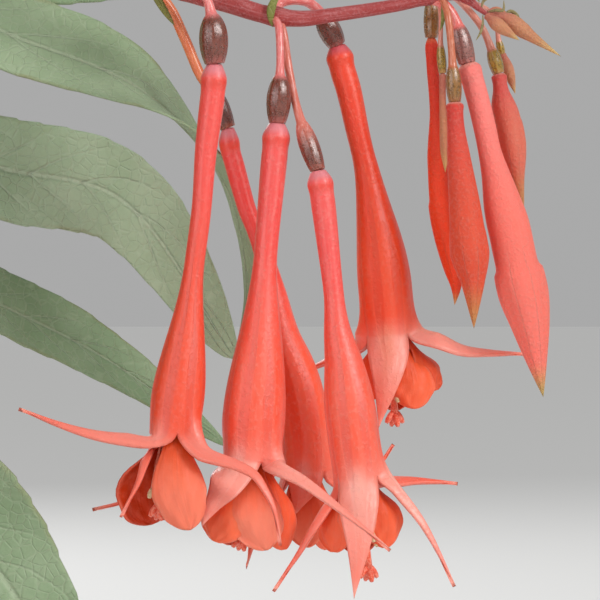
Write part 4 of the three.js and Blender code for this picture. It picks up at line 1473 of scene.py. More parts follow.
FLOWER_2 = hero_flower(
    "flower_2",
    [(-4.2, 0, 42.4), (-3.3, -2.4, 41.4), (-3, -3.6, 38), (-3, -4, 33.7)],
    level(-4, -3.4, 26.5, -3.6, 24, -4.3, 16.5, -5.1, 7.5, -5.5, 1.5, -6, -6, -6.9, -17.2,
          -7.3, -24),
    [
        ([(-11, -9.6, -27.2), (-12.9, -11, -30.4), (-14.7, -11.2, -33.9)],
         3.8, -115, -94, 0.14, 2.4, 0.95),
        ([(-2.9, -9.6, -24.1), (1.1, -12.4, -26.6), (7, -15, -31.5), (13.7, -17, -37.4)],
         2.1, -48, -30, 0.85, 1, 0.85),
        ([(-6.8, 1.5, -28), (-6.8, 2.5, -34), (-8, 0.5, -40.4)], 2.2, 64, 80, 0.4, 1, 0.3),
        ([(-10.5, 0.5, -28), (-12, 2, -31), (-12, 2.5, -34)], 2.0, 155, 150, 0.5),
    ],
    [
        ((-11.5, -7.4, -31.2), (-12.7, -6.8, -36.2), 4.3, -112, 0.4, 0),
        ((-6.8, -9, -31.5), (-5, -8, -37.4), 3.9, -82, 1, -0.05),
        ((-2.7, -6.2, -31.5), (-2.3, -5.6, -37.4), 2.9, -45, 0.35, 0),
        ((-9.3, -0.5, -32.2), (-10.2, -0.3, -36.8), 4.2, 95, 0.1, 0),
    ],
    (-8.8, -5, -35.6),
    ovary_radius=1.8, radii=(1.98, 1.74, 4.65, 4.15), flare=(0.375, 0.887), tone=0.3, stalk_radius=0.58,
)
FLOWER_3 = hero_flower(
    "flower_3",
    [(-27, 0.5, 51), (-24.5, 4, 48), (-20, 6, 44.5), (-17.2, 6, 39), (-14.8, 6, 33.5), (-12.8, 6, 31)],
    level(6, -10.8, 25.8, -10.5, 22.8, -9.8, 20.2, -8.9, 16.9, -7.9, 13.5, -6.6, 10.2, -5.4, 6.5,
          -4.2, 1.2, -3, -5.7, -1.3, -10.5, 0, -15.3, 0.8, -20.6, 0.9, -25.5),
    [
        ([(0.6, 1.9, -27.3), (0, 1, -29.6), (-0.9, 0.8, -32.4)], 3.2, -96, -92, 0.25, 1.3, 0.6),
        ([(5.8, 7.6, -26.6), (9.4, 9, -26.4), (12.2, 9, -23.8), (13.8, 9, -21.5)], 1.8, -6, 0, 0.8),
        ([(1.2, 11.5, -28), (1.5, 13, -31.5), (1.5, 13, -35)], 1.9, 84, 90, 0.5),
        ([(-3.4, 8.5, -28), (-5, 10.5, -31), (-5.6, 11, -34)], 1.9, 174, 170, 0.6),
    ],
    [
        ((0.6, 2.8, -32.2), (0.9, 3, -37.1), 2.9, -95, 0.62, 0),
        ((4, 4.8, -32.4), (4.2, 5, -37.4), 2.8, -50, 0.6, 0),
        ((-2.4, 6.4, -32), (-2, 6.2, -36.5), 2.9, 180, 0.3, 0),
        ((1.2, 9.8, -32), (1.2, 9.4, -36.5), 3.2, 90, 0.1, 0),
    ],
    ovary_radius=1.35, radii=(1.5, 1.28, 3.85, 3.75), flare=(0.3, 0.79), tone=0.5, stalk_radius=0.8,
    finish=TUBE_BACK, ovary_finish=OVARY_RUST,
)
FLOWER_4 = hero_flower(
    "flower_4",
    [(-3.2, 0, 42.2), (-2.5, -1.2, 40), (-1.9, -1.3, 36), (-0.9, -2.6, 30.6), (0.2, -4.8, 26.6)],
    level(-6, 2.7, 19.4, 3.1, 17.1, 3.6, 13.5, 4.3, 7.5, 5, 1.5, 5.6, -4.5, 6.6, -9.8, 7.5, -16.2,
          8.2, -21.8, 8.7, -26.4),
    [
        ([(8.7, -10, -29.4), (8.8, -11.4, -36), (8.1, -11.6, -44.9)], 3.7, -92, -90, 0.2, 1.6, 0.8),
        ([(14.6, -7.2, -27.2), (18.8, -7.8, -33.1), (23.4, -8, -42.9)], 1.6, -4, -25, 0.85, 1, 0.9),
        ([(12.6, -2.4, -26.2), (17, -0.4, -26.5), (23.7, 1, -27.3)], 2.3, 62, 15, 0.85, 1, 0.1),
        ([(4, -7.4, -29.6), (1, -8.4, -35), (-0.6, -8.6, -38), (-4.2, -8.6, -43.6)],
         1.6, 176, -150, 0.7, 1, 0.2),
    ],
    [
        ((12.7, -7.4, -32.2), (12.8, -6.8, -37.1), 3.1, -62, 0.3, 0),
        ((5, -7.2, -33), (5.1, -6.8, -37.8), 3.1, -112, 0.4, 0),
        ((8.6, -2.4, -32.5), (8.6, -2.4, -38), 3.6, 90, 0.1, 0),
        ((8.6, -9, -32), (8.8, -8.6, -37), 2.8, -90, 0.5, 0),
    ],
    (10.3, -6.6, -40.2),
    ovary_radius=1.48, radii=(1.85, 1.5, 3.8, 3.6), flare=(0.395, 0.813), tone=0.18,
    ovary_finish=OVARY_TAN,
)
FLOWER_5 = hero_flower(
    "flower_5",
    [(-3.8, 0, 42.5), (-3.1, 1.8, 44.4), (-1.4, 2, 45), (0.9, 2.6, 44.8), (2.6, 4.4, 43.6),
     (3.3, 6, 42.6)],
    level(7, 5.6, 38.2, 6.4, 34.5, 7.3, 31.5, 8.6, 25.5, 10, 19.5, 11.1, 13.5, 12.1, 7.5, 12.8, 1.5,
          13.3, -5.1),
    [
        ([(13.2, 2.4, -7.6), (12.9, 1.4, -12.4), (11.8, 1, -19.2)], 3.8, -96, -92, 0.25, 1.6, 0.85),
        ([(21.3, 6, -5.1), (24.5, 6, -6.7), (28.5, 6, -7.4), (33.9, 6, -7.9)], 2.9, -8, 0, 0.9, 1, 0.95),
        ([(8.4, 9.5, -6.2), (3.9, 11.5, -8.7), (-1.5, 12.5, -11.5)], 2.0, 172, 150, 0.8, 1, 0.6),
        ([(13.8, 12, -9), (14.3, 13, -11.5), (14.5, 13, -14.5)], 1.9, 82, 90, 0.6),
    ],
    [
        ((17.2, 4.6, -12), (17.3, 4.8, -16.2), 3.3, -68, 0.35, 0.1),
        ((19.6, 7.2, -10.4), (20.4, 7.4, -13.5), 2.9, -38, 0.2, 0),
        ((10.2, 6, -11), (10.8, 6.2, -14.9), 2.8, -120, 0.2, 0),
        ((14, 10.8, -11.5), (14.4, 10.4, -16.5), 3.2, 90, 0.1, 0),
    ],
    (14.2, 6.6, -17),
    ovary_radius=1.75, radii=(1.98, 1.72, 4.05, 3.85), flare=(0.353, 0.843), tone=0.1, stalk_radius=0.78,
    finish=TUBE_ORANGE,
)
FLOWERS = (FLOWER_1, FLOWER_2, FLOWER_3, FLOWER_4, FLOWER_5)

BUD_1 = hero_bud(
    "bud_1",
    [(18.4, 0.2, 45.1), (19.2, 3.6, 46), (19.7, 6, 44.9)],
    level(6, 19.7, 39.3, 19.9, 35, 20.3, 30, 20.5, 25, 20.7, 19.5, 21, 14.5, 21.9, 9.5, 22.9, 5,
          23.4, 2, 23.2, -0.8),
    ovary_radius=1.2, waist=0.93, belly=1.55, rise=(0.25, 0.42), shoulder=0.6, flange=0.55, step=0.14,
    finishes=(OVARY_OLIVE, BUD_RED), point=1.9,
)
BUD_2 = hero_bud(
    "bud_2",
    [(21.2, 0, 45.5), (22.1, -2.6, 43), (22.6, -3, 39), (22.9, -3, 35.1)],
    level(-3, 23.2, 29.7, 23.3, 27, 23.7, 22.5, 24.6, 15, 25.4, 7.5, 25.9, 3, 26.1, -4.3),
    ovary_radius=1.15, waist=1.25, belly=2.75, rise=(0.15, 0.7), shoulder=0.68, flange=0.6, step=0.03,
    finishes=(OVARY_OLIVE, BUD_CORAL),
)
BUD_3 = hero_bud(
    "bud_3",
    [(19.6, 0, 45.2), (21, 0.3, 44.7), (22.5, 0.6, 43.3), (23.6, 0.6, 41)],
    level(0.6, 25.1, 35.5, 25.8, 33.3, 26.8, 29.7, 27.7, 25.9, 28.5, 22.1, 29.5, 18.2, 30.4, 14.4,
          31.4, 10.6, 32.2, 6.8, 33.4, 1.5, 34.4, -2.9, 35.4, -8.5, 36.5, -14.6),
    ovary_radius=1.5, waist=1.7, belly=3.2, rise=(0.3, 0.58), shoulder=0.72, flange=0.7, step=0.17,
    finishes=(OVARY_PURPLE, BUD_SALMON), stalk_radius=0.85, point=1.85,
)
BUD_4 = hero_bud(
    "bud_4",
    [(22.6, 0, 45.9), (24.6, 3.4, 44.2), (27.2, 5, 41), (28.7, 5, 37.6)],
    level(5, 29.8, 34, 30.1, 31.6, 30.4, 29.7, 31.2, 26.7, 31.9, 22.5, 32.5, 18.3, 33.6, 13.2),
    ovary_radius=1.1, waist=1.1, belly=2.0, rise=(0.1, 0.46), shoulder=0.62, flange=0.5, step=0.05,
    finishes=(OVARY_GREEN, BUD_DUSTY),
)
BUD_5 = hero_bud(
    "bud_5",
    [(20.6, 0, 45.4), (21.1, 2, 42.8), (21.1, 2.4, 38.2)],
    level(2.4, 21.4, 34, 21.4, 30, 21.6, 24.8, 21.8, 19.1),
    ovary_radius=0.7, waist=0.5, belly=0.62, rise=(0.3, 0.7), shoulder=0.8,
    finishes=(OVARY_GREEN, BUD_YOUNG), stalk_radius=0.35,
)
BUD_6 = hero_bud(
    "bud_6",
    [(25.6, 0, 44.8), (28.2, 5, 43.5), (29.4, 7.6, 41.7), (29.8, 8.2, 38.9)],
    level(8.4, 30.3, 36.9, 31, 35.4, 31.6, 33.3, 32.3, 30.9),
    ovary_radius=0.6, waist=0.55, belly=0.85, rise=(0.05, 0.5), shoulder=0.5,
    finishes=(OVARY_GREEN, BUD_YOUNG), stalk_radius=0.35,
)
BUDS = (BUD_1, BUD_2, BUD_3, BUD_4, BUD_5, BUD_6)


# ---- leaves and stems
def leaf_width(ways: Array, half_width: float, widest: float) -> Array:
    """A leaf's half width: way to 0.75 times what is left to a power that puts the widest place.

    Args:
        ways: how far along.
        half_width: the largest half width.
        widest: where it is widest.

    Returns:
        The half width at each way, never less than the stalk's.
    """
    fall = 0.75 * (1 - widest) / widest
    peak = widest**0.75 * (1 - widest) ** fall
    shape = np.clip(ways, 0, 1) ** 0.75 * np.clip(1 - ways, 0, 1) ** fall
    stalk = 0.5 * (1 - smooth(0.9, 1.0, ways))
    return np.maximum(stalk, half_width * shape / peak) * smooth(-0.04, 0.12, ways)


@dataclass(frozen=True)
class Leaf:
    """A leaf: a cambered sheet along its midrib, with a toothed margin and sunken veins.

    The sides are the directions across it at its base and its tip, camber is how far its margins
    rise as a share of its width, and seed sets its waves apart from the next leaf's.
    """

    midrib: Route
    base_side: Array
    tip_side: Array
    half_width: float
    widest: float
    camber: float = 0.16
    teeth: int = 16
    seed: float = 0.0
    rows: int = 90
    columns: int = 31

    def grid(self, tone: float) -> Grid:
        """The leaf's sheet.

        Across q from -1 to 1, a point stands off its midrib by camber times q squared, less a
        groove at the midrib, less shallow valleys along the side veins, plus two long waves that
        grow towards the margin. Teeth make the width a little wider at even steps.

        Args:
            tone: the leaf's tone.

        Returns:
            The sheet.
        """
        ways = evenly(self.rows)
        width = leaf_width(ways, self.half_width, self.widest)
        if self.teeth:
            saw = np.mod(ways * self.teeth, 1.0)
            width = width * (1 + 0.035 * saw * smooth(0.1, 0.25, ways) * (1 - smooth(0.85, 1, ways)))
        lean = smooth(0.35, 0.7, ways)[:, None]
        side = self.base_side * (1 - lean) + self.tip_side * lean
        wave_at = 9 * wobble(self.seed, 1)
        way, across = ways[:, None], np.linspace(-1, 1, self.columns)[None]
        far = np.abs(across)
        groove = 0.05 * np.exp(-((across / 0.07) ** 2))
        vein = np.mod(way * VEIN_PAIRS - VEIN_SWEEP * far + 0.5, 1) - 0.5
        valley = 0.018 * np.exp(-(vein / 0.13) ** 2) * far
        wave = 0.09 * np.sin(way * 9 + wave_at + 1.7 * np.sign(across)) * far**2
        ripple = 0.03 * np.sin(way * 31 + wave_at) * far**3
        heights = self.camber * far**2 - groove - valley + wave + ripple
        return blade(self.midrib, ways, width, side, heights, tone=tone)


@dataclass(frozen=True)
class ShootLeaf:
    """A leaf of the near cluster: its node, its midrib's places and the directions across it."""

    node: str
    midrib: Places
    sides: tuple[Place, Place]
    half_width: float
    widest: float
    tone: float
    finish: Finish = LEAF

    def build(self) -> None:
        """Adds the leaf."""
        base, tip = (unit(np.array(side, float)) for side in self.sides)
        midrib = Spline(in_cluster(self.midrib))
        shape = Leaf(midrib, base, tip, self.half_width, self.widest, seed=10 * self.tone)
        grid = shape.grid(self.tone)
        add_piece(f"{self.node}_blade", [grid], [self.finish], "leaf", [self.node], thickness=0.38)


# The last number of each leaf is its tone, partly painted light and shade: the lit middle leaf is high and
# wears the lit finish, the lower leaf in shade is low.
SHOOT_LEAVES = (
    ShootLeaf(
        "leaf_upper",
        [(-68, 20, 44), (-56, 16, 46), (-45, 14, 41), (-24, 12, 32), (-11.4, 12, 18), (-8, 12, 2),
         (-9.3, 13, -6)],
        ((0, 0.5, 0.85), (-0.3, 1, 0)), 7, 0.36, 0.75,
    ),
    ShootLeaf(
        "leaf_middle",
        [(-66.5, 20, 20), (-58, 23, 24), (-46.5, 30, 20.6), (-28.5, 35, 16), (-10.2, 38, -9.5)],
        ((0, 0, 1), (0.2, 0, 1)), 8, 0.55, 0.9, finish=LIT_LEAF,
    ),
    ShootLeaf(
        "leaf_lower",
        [(-66, 20, 2), (-60, 30, 5), (-48, 45, -0.8), (-31, 55, -10), (-12, 60, -24)],
        ((0, 0.5, 0.85), (0, 0.5, 0.85)), 5.8, 0.5, 0.1,
    ),
    ShootLeaf(
        "leaf_front",
        [(-66.5, 20, -16), (-61, 8, -20), (-52, -3, -31), (-43, -6, -43), (-28, -6, -66)],
        ((0.3, 0, 1), (0.6, 0, 1)), 11, 0.5, 0.5,
    ),
    ShootLeaf(
        "leaf_back",
        [(-68, 20, 47), (-60, 30, 54), (-42, 40, 55), (-20, 42, 54.5), (2, 42, 50)],
        ((0, 0, 1), (0, 0, 1)), 8, 0.45, 0.3,
    ),
)


@dataclass(frozen=True)
class Stem:
    """A tapered stem that swells at its knots; its radii are those at its root and its tip."""

    node: str
    points: Places
    radii: Pair
    knots: Places
    finish: Finish

    def build(self) -> None:
        """Adds the stem: the radius falls evenly, plus a bell-shaped swelling at each knot."""
        ways = evenly(260)
        route = Spline(in_cluster(self.points))
        centres = route.at(ways)
        radii = self.radii[0] + (self.radii[1] - self.radii[0]) * ways
        knots = in_cluster(self.knots)
        gaps = np.linalg.norm(centres[:, None] - knots[None], axis=2)
        radii = radii + 0.28 * np.exp(-((gaps / 1.3) ** 2)).sum(axis=1)
        grid = limb(route, ways, radii, 20)
        add_piece(f"{self.node}_skin", [grid], [self.finish], "stem", [self.node])


STEMS = (
    Stem(
        "flowering_stem",
        [(-179, 46, 16), (-172, 44, 62), (-140, 38, 101), (-95, 26, 106), (-52, 9, 80), (-27, 1, 52),
         (-16.5, 0, 46.3), (-11, 0, 44.6), (-5.1, 0, 42.8), (0, 0, 42.2), (4.5, 0, 42.7), (15, 0, 44.3),
         (19.5, 0, 45.3), (22.5, 0, 45.9), (25, 0, 45.2), (26.7, 0, 43.8), (28.4, 0, 42.6)],
        (2.4, 0.3),
        [(-27, 1, 52), (-17.6, 0, 46.8), (-3.6, 0, 42.4), (19.5, 0, 45.3), (22.5, 0, 45.9), (25, 0, 45.2)],
        RACHIS,
    ),
    Stem(
        "leafy_stem",
        [(-187, 30, 16), (-182, 29, 60), (-150, 26, 92), (-110, 23, 84), (-78, 20, 64), (-68, 20, 40),
         (-66, 20, 5), (-66, 20, -20), (-68, 20, -42)],
        (2.4, 0.9),
        [(-68, 20, 44), (-66.5, 20, 20), (-66, 20, 2), (-66.5, 20, -16)],
        LEAFY,
    ),
)


def terminal_buds() -> None:
    """Adds the young buds at the raceme's end, with the small curled bracts round them."""
    plans = (
        ([(28.2, 0, 42.8), (30.6, 0, 42.2), (32.4, 0, 41.2), (34.6, 0, 39.6), (39.2, 0, 36.5)], 0.7, 1.3),
        ([(27.9, -0.6, 42.6), (29, -1.6, 41.6), (30.6, -2, 40.4), (32.8, -2.2, 38.8)], 0.5, 1.05),
        ([(28.2, 0.5, 43.2), (29.2, 1, 43.4), (30.4, 1.2, 43), (32.2, 1.2, 41.8)], 0.4, 0.75),
    )
    grids = []
    for places, waist, belly in plans:
        route = Spline(in_cluster(places))
        young = Bud("young", route, 0.5, route, waist, belly, (0.05, 0.45), 0.5, rows=36, sides=20)
        grids.append(young.body_grid(0))
    bracts = (
        ([(28.2, -0.4, 43.2), (29.3, -1, 43.4), (30.4, -1.4, 43.4), (30.5, -1.4, 45)], 0.33),
        ([(27.4, -0.6, 42.8), (27.3, -1.4, 41), (26.9, -1.6, 39.8), (26.3, -1.4, 38.8)], 0.26),
        ([(30.6, 0.6, 42.8), (31.6, 1.0, 43.4), (32.6, 1.0, 42.8), (33.1, 0.8, 41.8)], 0.36),
        ([(27.2, 0.3, 43.6), (27.5, 0.6, 44.8), (28.1, 0.6, 45.4), (28.2, 0.6, 46.4)], 0.3),
    )
    grids += [small_bract(places, width, 1) for places, width in bracts]
    add_piece("terminal_buds_skin", grids, [BUD_YOUNG, DUSTY_BRACT], "bud", ["terminal_buds"])


def small_bract(places: Places, half_width: float, finish: int = 0) -> Grid:
    """A bract as a closed flat limb, so that it needs no thickness: a narrow, pointed oval.

    Args:
        places: places along it.
        half_width: its largest half width.
        finish: the finish's number.

    Returns:
        The closed limb.
    """
    ways = evenly(16)
    angle = np.linspace(0, TAU, 10, endpoint=False)
    flat = 1 - 0.65 * np.abs(np.cos(angle))[None]
    radii = half_width * np.sin(math.pi * (0.08 + 0.92 * ways)) ** 0.8
    return limb(Spline(in_cluster(places)), ways, radii, 10, swell=flat, finish=finish, tone=0.7)


def node_bracts() -> None:
    """Adds the small green bracts at the raceme's nodes."""
    bracts = (
        ([(-3.3, -1.1, 45.6), (-4.1, -1.7, 44.2), (-4.4, -1.8, 42.6), (-4.1, -1.6, 40.8)], 0.85),
        ([(-22.6, 2.4, 48.6), (-22.0, 2.0, 46.4), (-20.4, 2.6, 43.6), (-18.9, 4.0, 41.4)], 0.8),
        ([(21.2, -1.2, 44.6), (21.4, -1.8, 43.0), (21.3, -2.0, 41.4), (20.9, -2.0, 40.2)], 0.4),
        ([(24.4, -0.8, 45.4), (25.2, -1.2, 46.0), (26.2, -1.4, 45.6), (26.9, -1.2, 44.6)], 0.5),
    )
    grids = [small_bract(places, width) for places, width in bracts]
    add_piece("node_bracts", grids, [BRACT], "leaf")


# ---- the rest of the plant
@dataclass(frozen=True)
class Tier:
    """Shoots that leave the mix alike: where they root, how they arch, where their leaves are."""

    root: float
    reach: float
    rise: float
    arch: float
    azimuths: Sequence[float]
    whorls: Sequence[float]
    extra: Sequence[float]


TIERS = (
    Tier(20, 128, 142, 218, (-10, 62, 118, 184, 240, 300), (0.3, 0.5, 0.68), (0.16, 0.4, 0.6, 0.78)),
    Tier(46, 114, 44, 122, (-42, 12, 45), (0.4, 0.64), (0.25, 0.54, 0.76)),
    Tier(44, 205, 40, 142, (86, 132, 174, 212), (0.32, 0.52, 0.7), (0.18, 0.42, 0.62, 0.78)),
    Tier(70, 226, -66, 64, (64, 108, 156, 198, 240, 286), (0.42, 0.66), (0.28, 0.55, 0.77)),
)
LEAVES_PER_WHORL = 3
RACEME_START = 0.8
RACEME_STEP = 0.06
RACEME_FLOWERS = 4
RACEME_BUDS = 3


@dataclass(frozen=True)
class Shoot:
    """One shoot of the rest of the plant: its number, its tier, its azimuth and its own seed."""

    number: int
    tier: Tier
    azimuth: float
    seed: int

    @cached_property
    def route(self) -> Route:
        """The stem: up out of the mix, over, and out to its tip, with a sideways sway.

        Returns:
            The line from its root to its tip.
        """
        tier, sway = self.tier, 30 * (wobble(self.seed, 0) - 0.5)
        aside, over = polar(1, self.azimuth + 90, 0), RIM_Z + tier.arch
        return Bezier([
            polar(tier.root, self.azimuth, SOIL_TOP - ROOT_DEPTH),
            polar(tier.root + 10, self.azimuth, over),
            polar(0.75 * tier.reach, self.azimuth, over) + aside * 0.5 * sway,
            polar(tier.reach, self.azimuth, RIM_Z + tier.rise) + aside * sway,
        ])

    def stem_grid(self) -> Grid:
        """The stem, thinner towards its tip.

        Returns:
            The limb, swollen where leaves grow.
        """
        ways = evenly(60)
        knots = np.array([*self.tier.whorls, *self.tier.extra])
        radii = 2.4 - 1.3 * ways
        radii = radii + 0.5 * np.exp(-(((ways[:, None] - knots) / 0.012) ** 2)).sum(axis=1)
        return limb(self.route, ways, radii, 10, polar(1, self.azimuth + 90, 0))

    def leaf_grid(self, station: float, item: int, turn: float, scale: float) -> Grid:
        """One leaf of a whorl: out along its direction, then drooping.

        Args:
            station: the way along the stem where it grows.
            item: what sets its draws apart.
            turn: its azimuth.
            scale: its size against a full leaf's.

        Returns:
            The leaf's sheet.
        """
        length = (92 - 55 * station) * scale
        droop = length * (0.22 + 0.3 * wobble(self.seed, item + 50))
        start = self.route.one(station) + polar(1.2, turn, 0)
        top = start + polar(0.55 * length, turn, 0.16 * length)
        midrib = Bezier([start, top, start + polar(0.95 * length, turn, -droop)])
        across = np.cross(UP, polar(1, turn, 0))
        shape = Leaf(
            midrib, across, across, 0.22 * length, 0.42, teeth=0,
            camber=0.1 + 0.2 * wobble(self.seed, item + 20), seed=self.seed + item, rows=16, columns=9,
        )
        return shape.grid(wobble(self.seed, item + 70))

    def leaf_grids(self) -> list[Grid]:
        """The whorls of full leaves, and the smaller ones between them.

        Returns:
            One sheet for each leaf.
        """
        grids = []
        kinds = ((self.tier.whorls, 1, -20, 1.0, 0.0), (self.tier.extra, 200, 30, 0.62, 0.2))
        for stations, first, shift, scale, spread in kinds:
            for whorl, station in enumerate(stations):
                for leaf in range(LEAVES_PER_WHORL):
                    item = first + 10 * whorl + leaf
                    turn = self.azimuth + 120 * leaf + 60 * whorl + shift + 40 * wobble(self.seed, item)
                    size = scale + spread * wobble(self.seed, item + 5)
                    grids.append(self.leaf_grid(station, item, turn, size))
        return grids

    def flower(self, index: int) -> Flower:
        """One hanging flower of the shoot's raceme.

        Args:
            index: its place on the raceme.

        Returns:
            The flower, drawn coarsely.
        """
        item = 100 + index
        spread = (55 if index % 2 else -55) * (0.5 + wobble(self.seed, item))
        out = polar(1, self.azimuth + spread, 0)
        hang = 60 + 8 * wobble(self.seed, item + 50)
        start = self.route.one(RACEME_START + RACEME_STEP * index)
        whole = Bezier([start, start + out * 13 + UP * 3, start + out * 17 - UP * hang])
        tube, mouth = Stretch(whole, 0.4, 0.87), whole.one(0.87)
        sepals, petals = [], []
        for number in range(4):
            turn = 90 * number + 90 * wobble(self.seed, item + 7) + 20 * wobble(self.seed, item + number)
            low = 2 + 9 * wobble(self.seed, item + 11 * number)
            line = [polar(6, turn, -2), polar(10.5, turn, -2 - 0.5 * low), polar(14.5, turn, -2 - low)]
            sepals.append(SepalPlan(mouth + np.array(line), 2.3, turn, turn))
            turn, shade = turn + 45, wobble(self.seed, item + 31 * number)
            shoulder, tip = mouth + polar(4.1, turn, -6.5), mouth + polar(4.2, turn, -12.2)
            petals.append(PetalPlan(shoulder, tip, 3.9, turn, shade))
        stalk, radii, flare = Stretch(whole, 0.0, 0.42), (1.9, 1.5, 3.9, 3.7), (0.45, 0.84)
        return Flower(
            f"shoot_flower_{index}", stalk, 1.7, tube, radii, flare, sepals, petals, mouth - UP * 15,
            0.7 * wobble(self.seed, item + 3), detail=Detail.DISTANT,
        )

    def bud(self, index: int) -> Bud:
        """One closed bud near the shoot's tip.

        Args:
            index: its place past the flowers.

        Returns:
            The bud, drawn coarsely.
        """
        item = 300 + index
        out = polar(1, self.azimuth + 130 * index + 60 * wobble(self.seed, item), 0)
        start = self.route.one(0.93 + 0.035 * index)
        length = 42 - 11 * index + 5 * wobble(self.seed, item + 9)
        whole = Bezier([start, start + out * 8 + UP * 3, start + out * 10 - UP * length])
        belly = 2.9 - 0.6 * index
        return Bud(
            f"shoot_bud_{index}", Stretch(whole, 0.0, 0.4), 1.3 - 0.2 * index, Stretch(whole, 0.38, 1.0),
            0.45 * belly, belly, (0.15, 0.6), 0.68, rows=14, sides=8, ovary_sides=6,
        )

    def build(self) -> None:
        """Adds the shoot's stem, leaves and flowers."""
        name = f"shoot_{self.number:02d}"
        add_piece(f"{name}_stem", [self.stem_grid()], [SHOOT_SKIN], "stem")
        add_piece(f"{name}_leaves", self.leaf_grids(), [FAR_LEAF], "leaf", [name], thickness=0.4)
        shells, solids = [], []
        for index in range(RACEME_FLOWERS):
            flower = self.flower(index)
            shells += flower.calyx_grids(Wear.TUBE) + flower.petal_grids(Wear.PETAL)
            solids += [flower.ovary_grid(Wear.OVARY)]
            solids += flower.stamen_grids(Wear.FILAMENT, Wear.ANTHER, Wear.FILAMENT)
        for index in range(RACEME_BUDS):
            bud = self.bud(index)
            stalk, body = bud.grids()
            stalk.finish, body.finish = Wear.OVARY, Wear.BUD
            solids += [stalk, body]
        add_piece(f"{name}_flowers", shells, FLOWER_FINISHES, "calyx", thickness=0.4)
        add_piece(f"{name}_stamens_and_buds", solids, FLOWER_FINISHES, "bud")


def all_shoots() -> list[Shoot]:
    """Every shoot of the rest of the plant, numbered from 1, tier by tier."""
    plans = [
        (tier, azimuth, 10 * row + place + 1)
        for row, tier in enumerate(TIERS) for place, azimuth in enumerate(tier.azimuths)
    ]
    return [Shoot(number, *plan) for number, plan in enumerate(plans, 1)]


# ---- the holder
@dataclass(frozen=True)
class Bowl:
    """The hanging bowl: a moulded shell with a flanged rim, lug holes and drain holes."""

    radius: float = 127.0
    height: float = 140.0
    base_radius: float = 58.0
    wall: float = 2.4
    flange_width: float = 8.5
    flange_thickness: float = 3.0
    lug_circle: float = 122.6
    lug_hole: float = 2.2
    lug_azimuths: Sequence[float] = (30, 150, 270)
    drain_circle: float = 36.0
    drain_hole: float = 4.0
    drains: int = 5
    segments: int = 160

    def profile(self) -> list[Pair]:
        """The section from the middle of the base, up the outside, over the rim and down inside.

        Returns:
            Radius and height of each point.
        """
        base, inner, wall = RIM_Z - self.height, self.radius - self.flange_width, self.wall
        under = RIM_Z - self.flange_thickness
        side = Spline([
            (self.base_radius + 9, base + 4, 0), (89, base + 36, 0), (106, base + 72, 0),
            (115, base + 106, 0), (inner + 0.4, under - 1.2, 0),
        ]).at(evenly(22))[:, :2]
        outside = [
            (0, base + 1.2), (self.base_radius - 8, base + 1.2), (self.base_radius - 6, base),
            (self.base_radius, base), (self.base_radius + 5, base + 1.4), *map(tuple, side),
            (inner + 1.2, under), (self.radius - 0.8, under), (self.radius, under + 0.8),
            (self.radius, RIM_Z - 0.8),
            (self.radius - 0.8, RIM_Z), (inner - wall + 1.2, RIM_Z), (inner - wall + 0.4, RIM_Z - 0.8),
        ]
        inside = [(radius - wall, height + 0.3) for radius, height in side[::-1][1:]]
        return [*outside, *inside, (self.base_radius, base + wall), (0, base + wall)]

    def build(self) -> None:
        """Adds the bowl, with its holes cut through."""
        piece = add_piece(
            "bowl_shell", [turned(self.profile(), self.segments)], [BOWL], "bowl", ["hanging_bowl"]
        )
        holes = [(self.lug_circle, azimuth, self.lug_hole, RIM_Z) for azimuth in self.lug_azimuths]
        holes += [
            (self.drain_circle, 360 * drain / self.drains, self.drain_hole, RIM_Z - self.height)
            for drain in range(self.drains)
        ]
        drills = [self._drill(polar(circle, azimuth, z), radius) for circle, azimuth, radius, z in holes]
        cut_with(piece, drills)

    def _drill(self, centre: Array, radius: float) -> Grid:
        """A short upright cylinder where a hole goes."""
        route = Bezier([centre - UP * 8, centre + UP * 8])
        return limb(route, np.array([0.0, 1.0]), np.full(2, radius), 28)


def cut_with(piece: bpy.types.Object, drills: Sequence[Grid]) -> None:
    """Cuts some closed grids out of a piece and keeps the result as its mesh.

    Args:
        piece: what is cut.
        drills: closed grids.
    """
    cutter = stand("drills", mesh_of("drills", drills, []))
    cut = piece.modifiers.new("holes", "BOOLEAN")
    cut.operation, cut.solver, cut.object = "DIFFERENCE", "EXACT", cutter
    for shape in (piece.data, cutter.data):
        flip_outwards(shape)
    bpy.context.view_layer.update()
    seen = piece.evaluated_get(bpy.context.evaluated_depsgraph_get())
    whole = bpy.data.meshes.new_from_object(seen)
    piece.modifiers.remove(cut)
    piece.data = whole
    bpy.data.objects.remove(cutter)
    whole.set_sharp_from_angle(angle=math.radians(40))


def flip_outwards(mesh: bpy.types.Mesh) -> None:
    """Turns a closed mesh's faces outwards.

    Args:
        mesh: the closed mesh.
    """
    shape = bmesh.new()
    shape.from_mesh(mesh)
    bmesh.ops.recalc_face_normals(shape, faces=shape.faces)
    shape.to_mesh(mesh)
    shape.free()


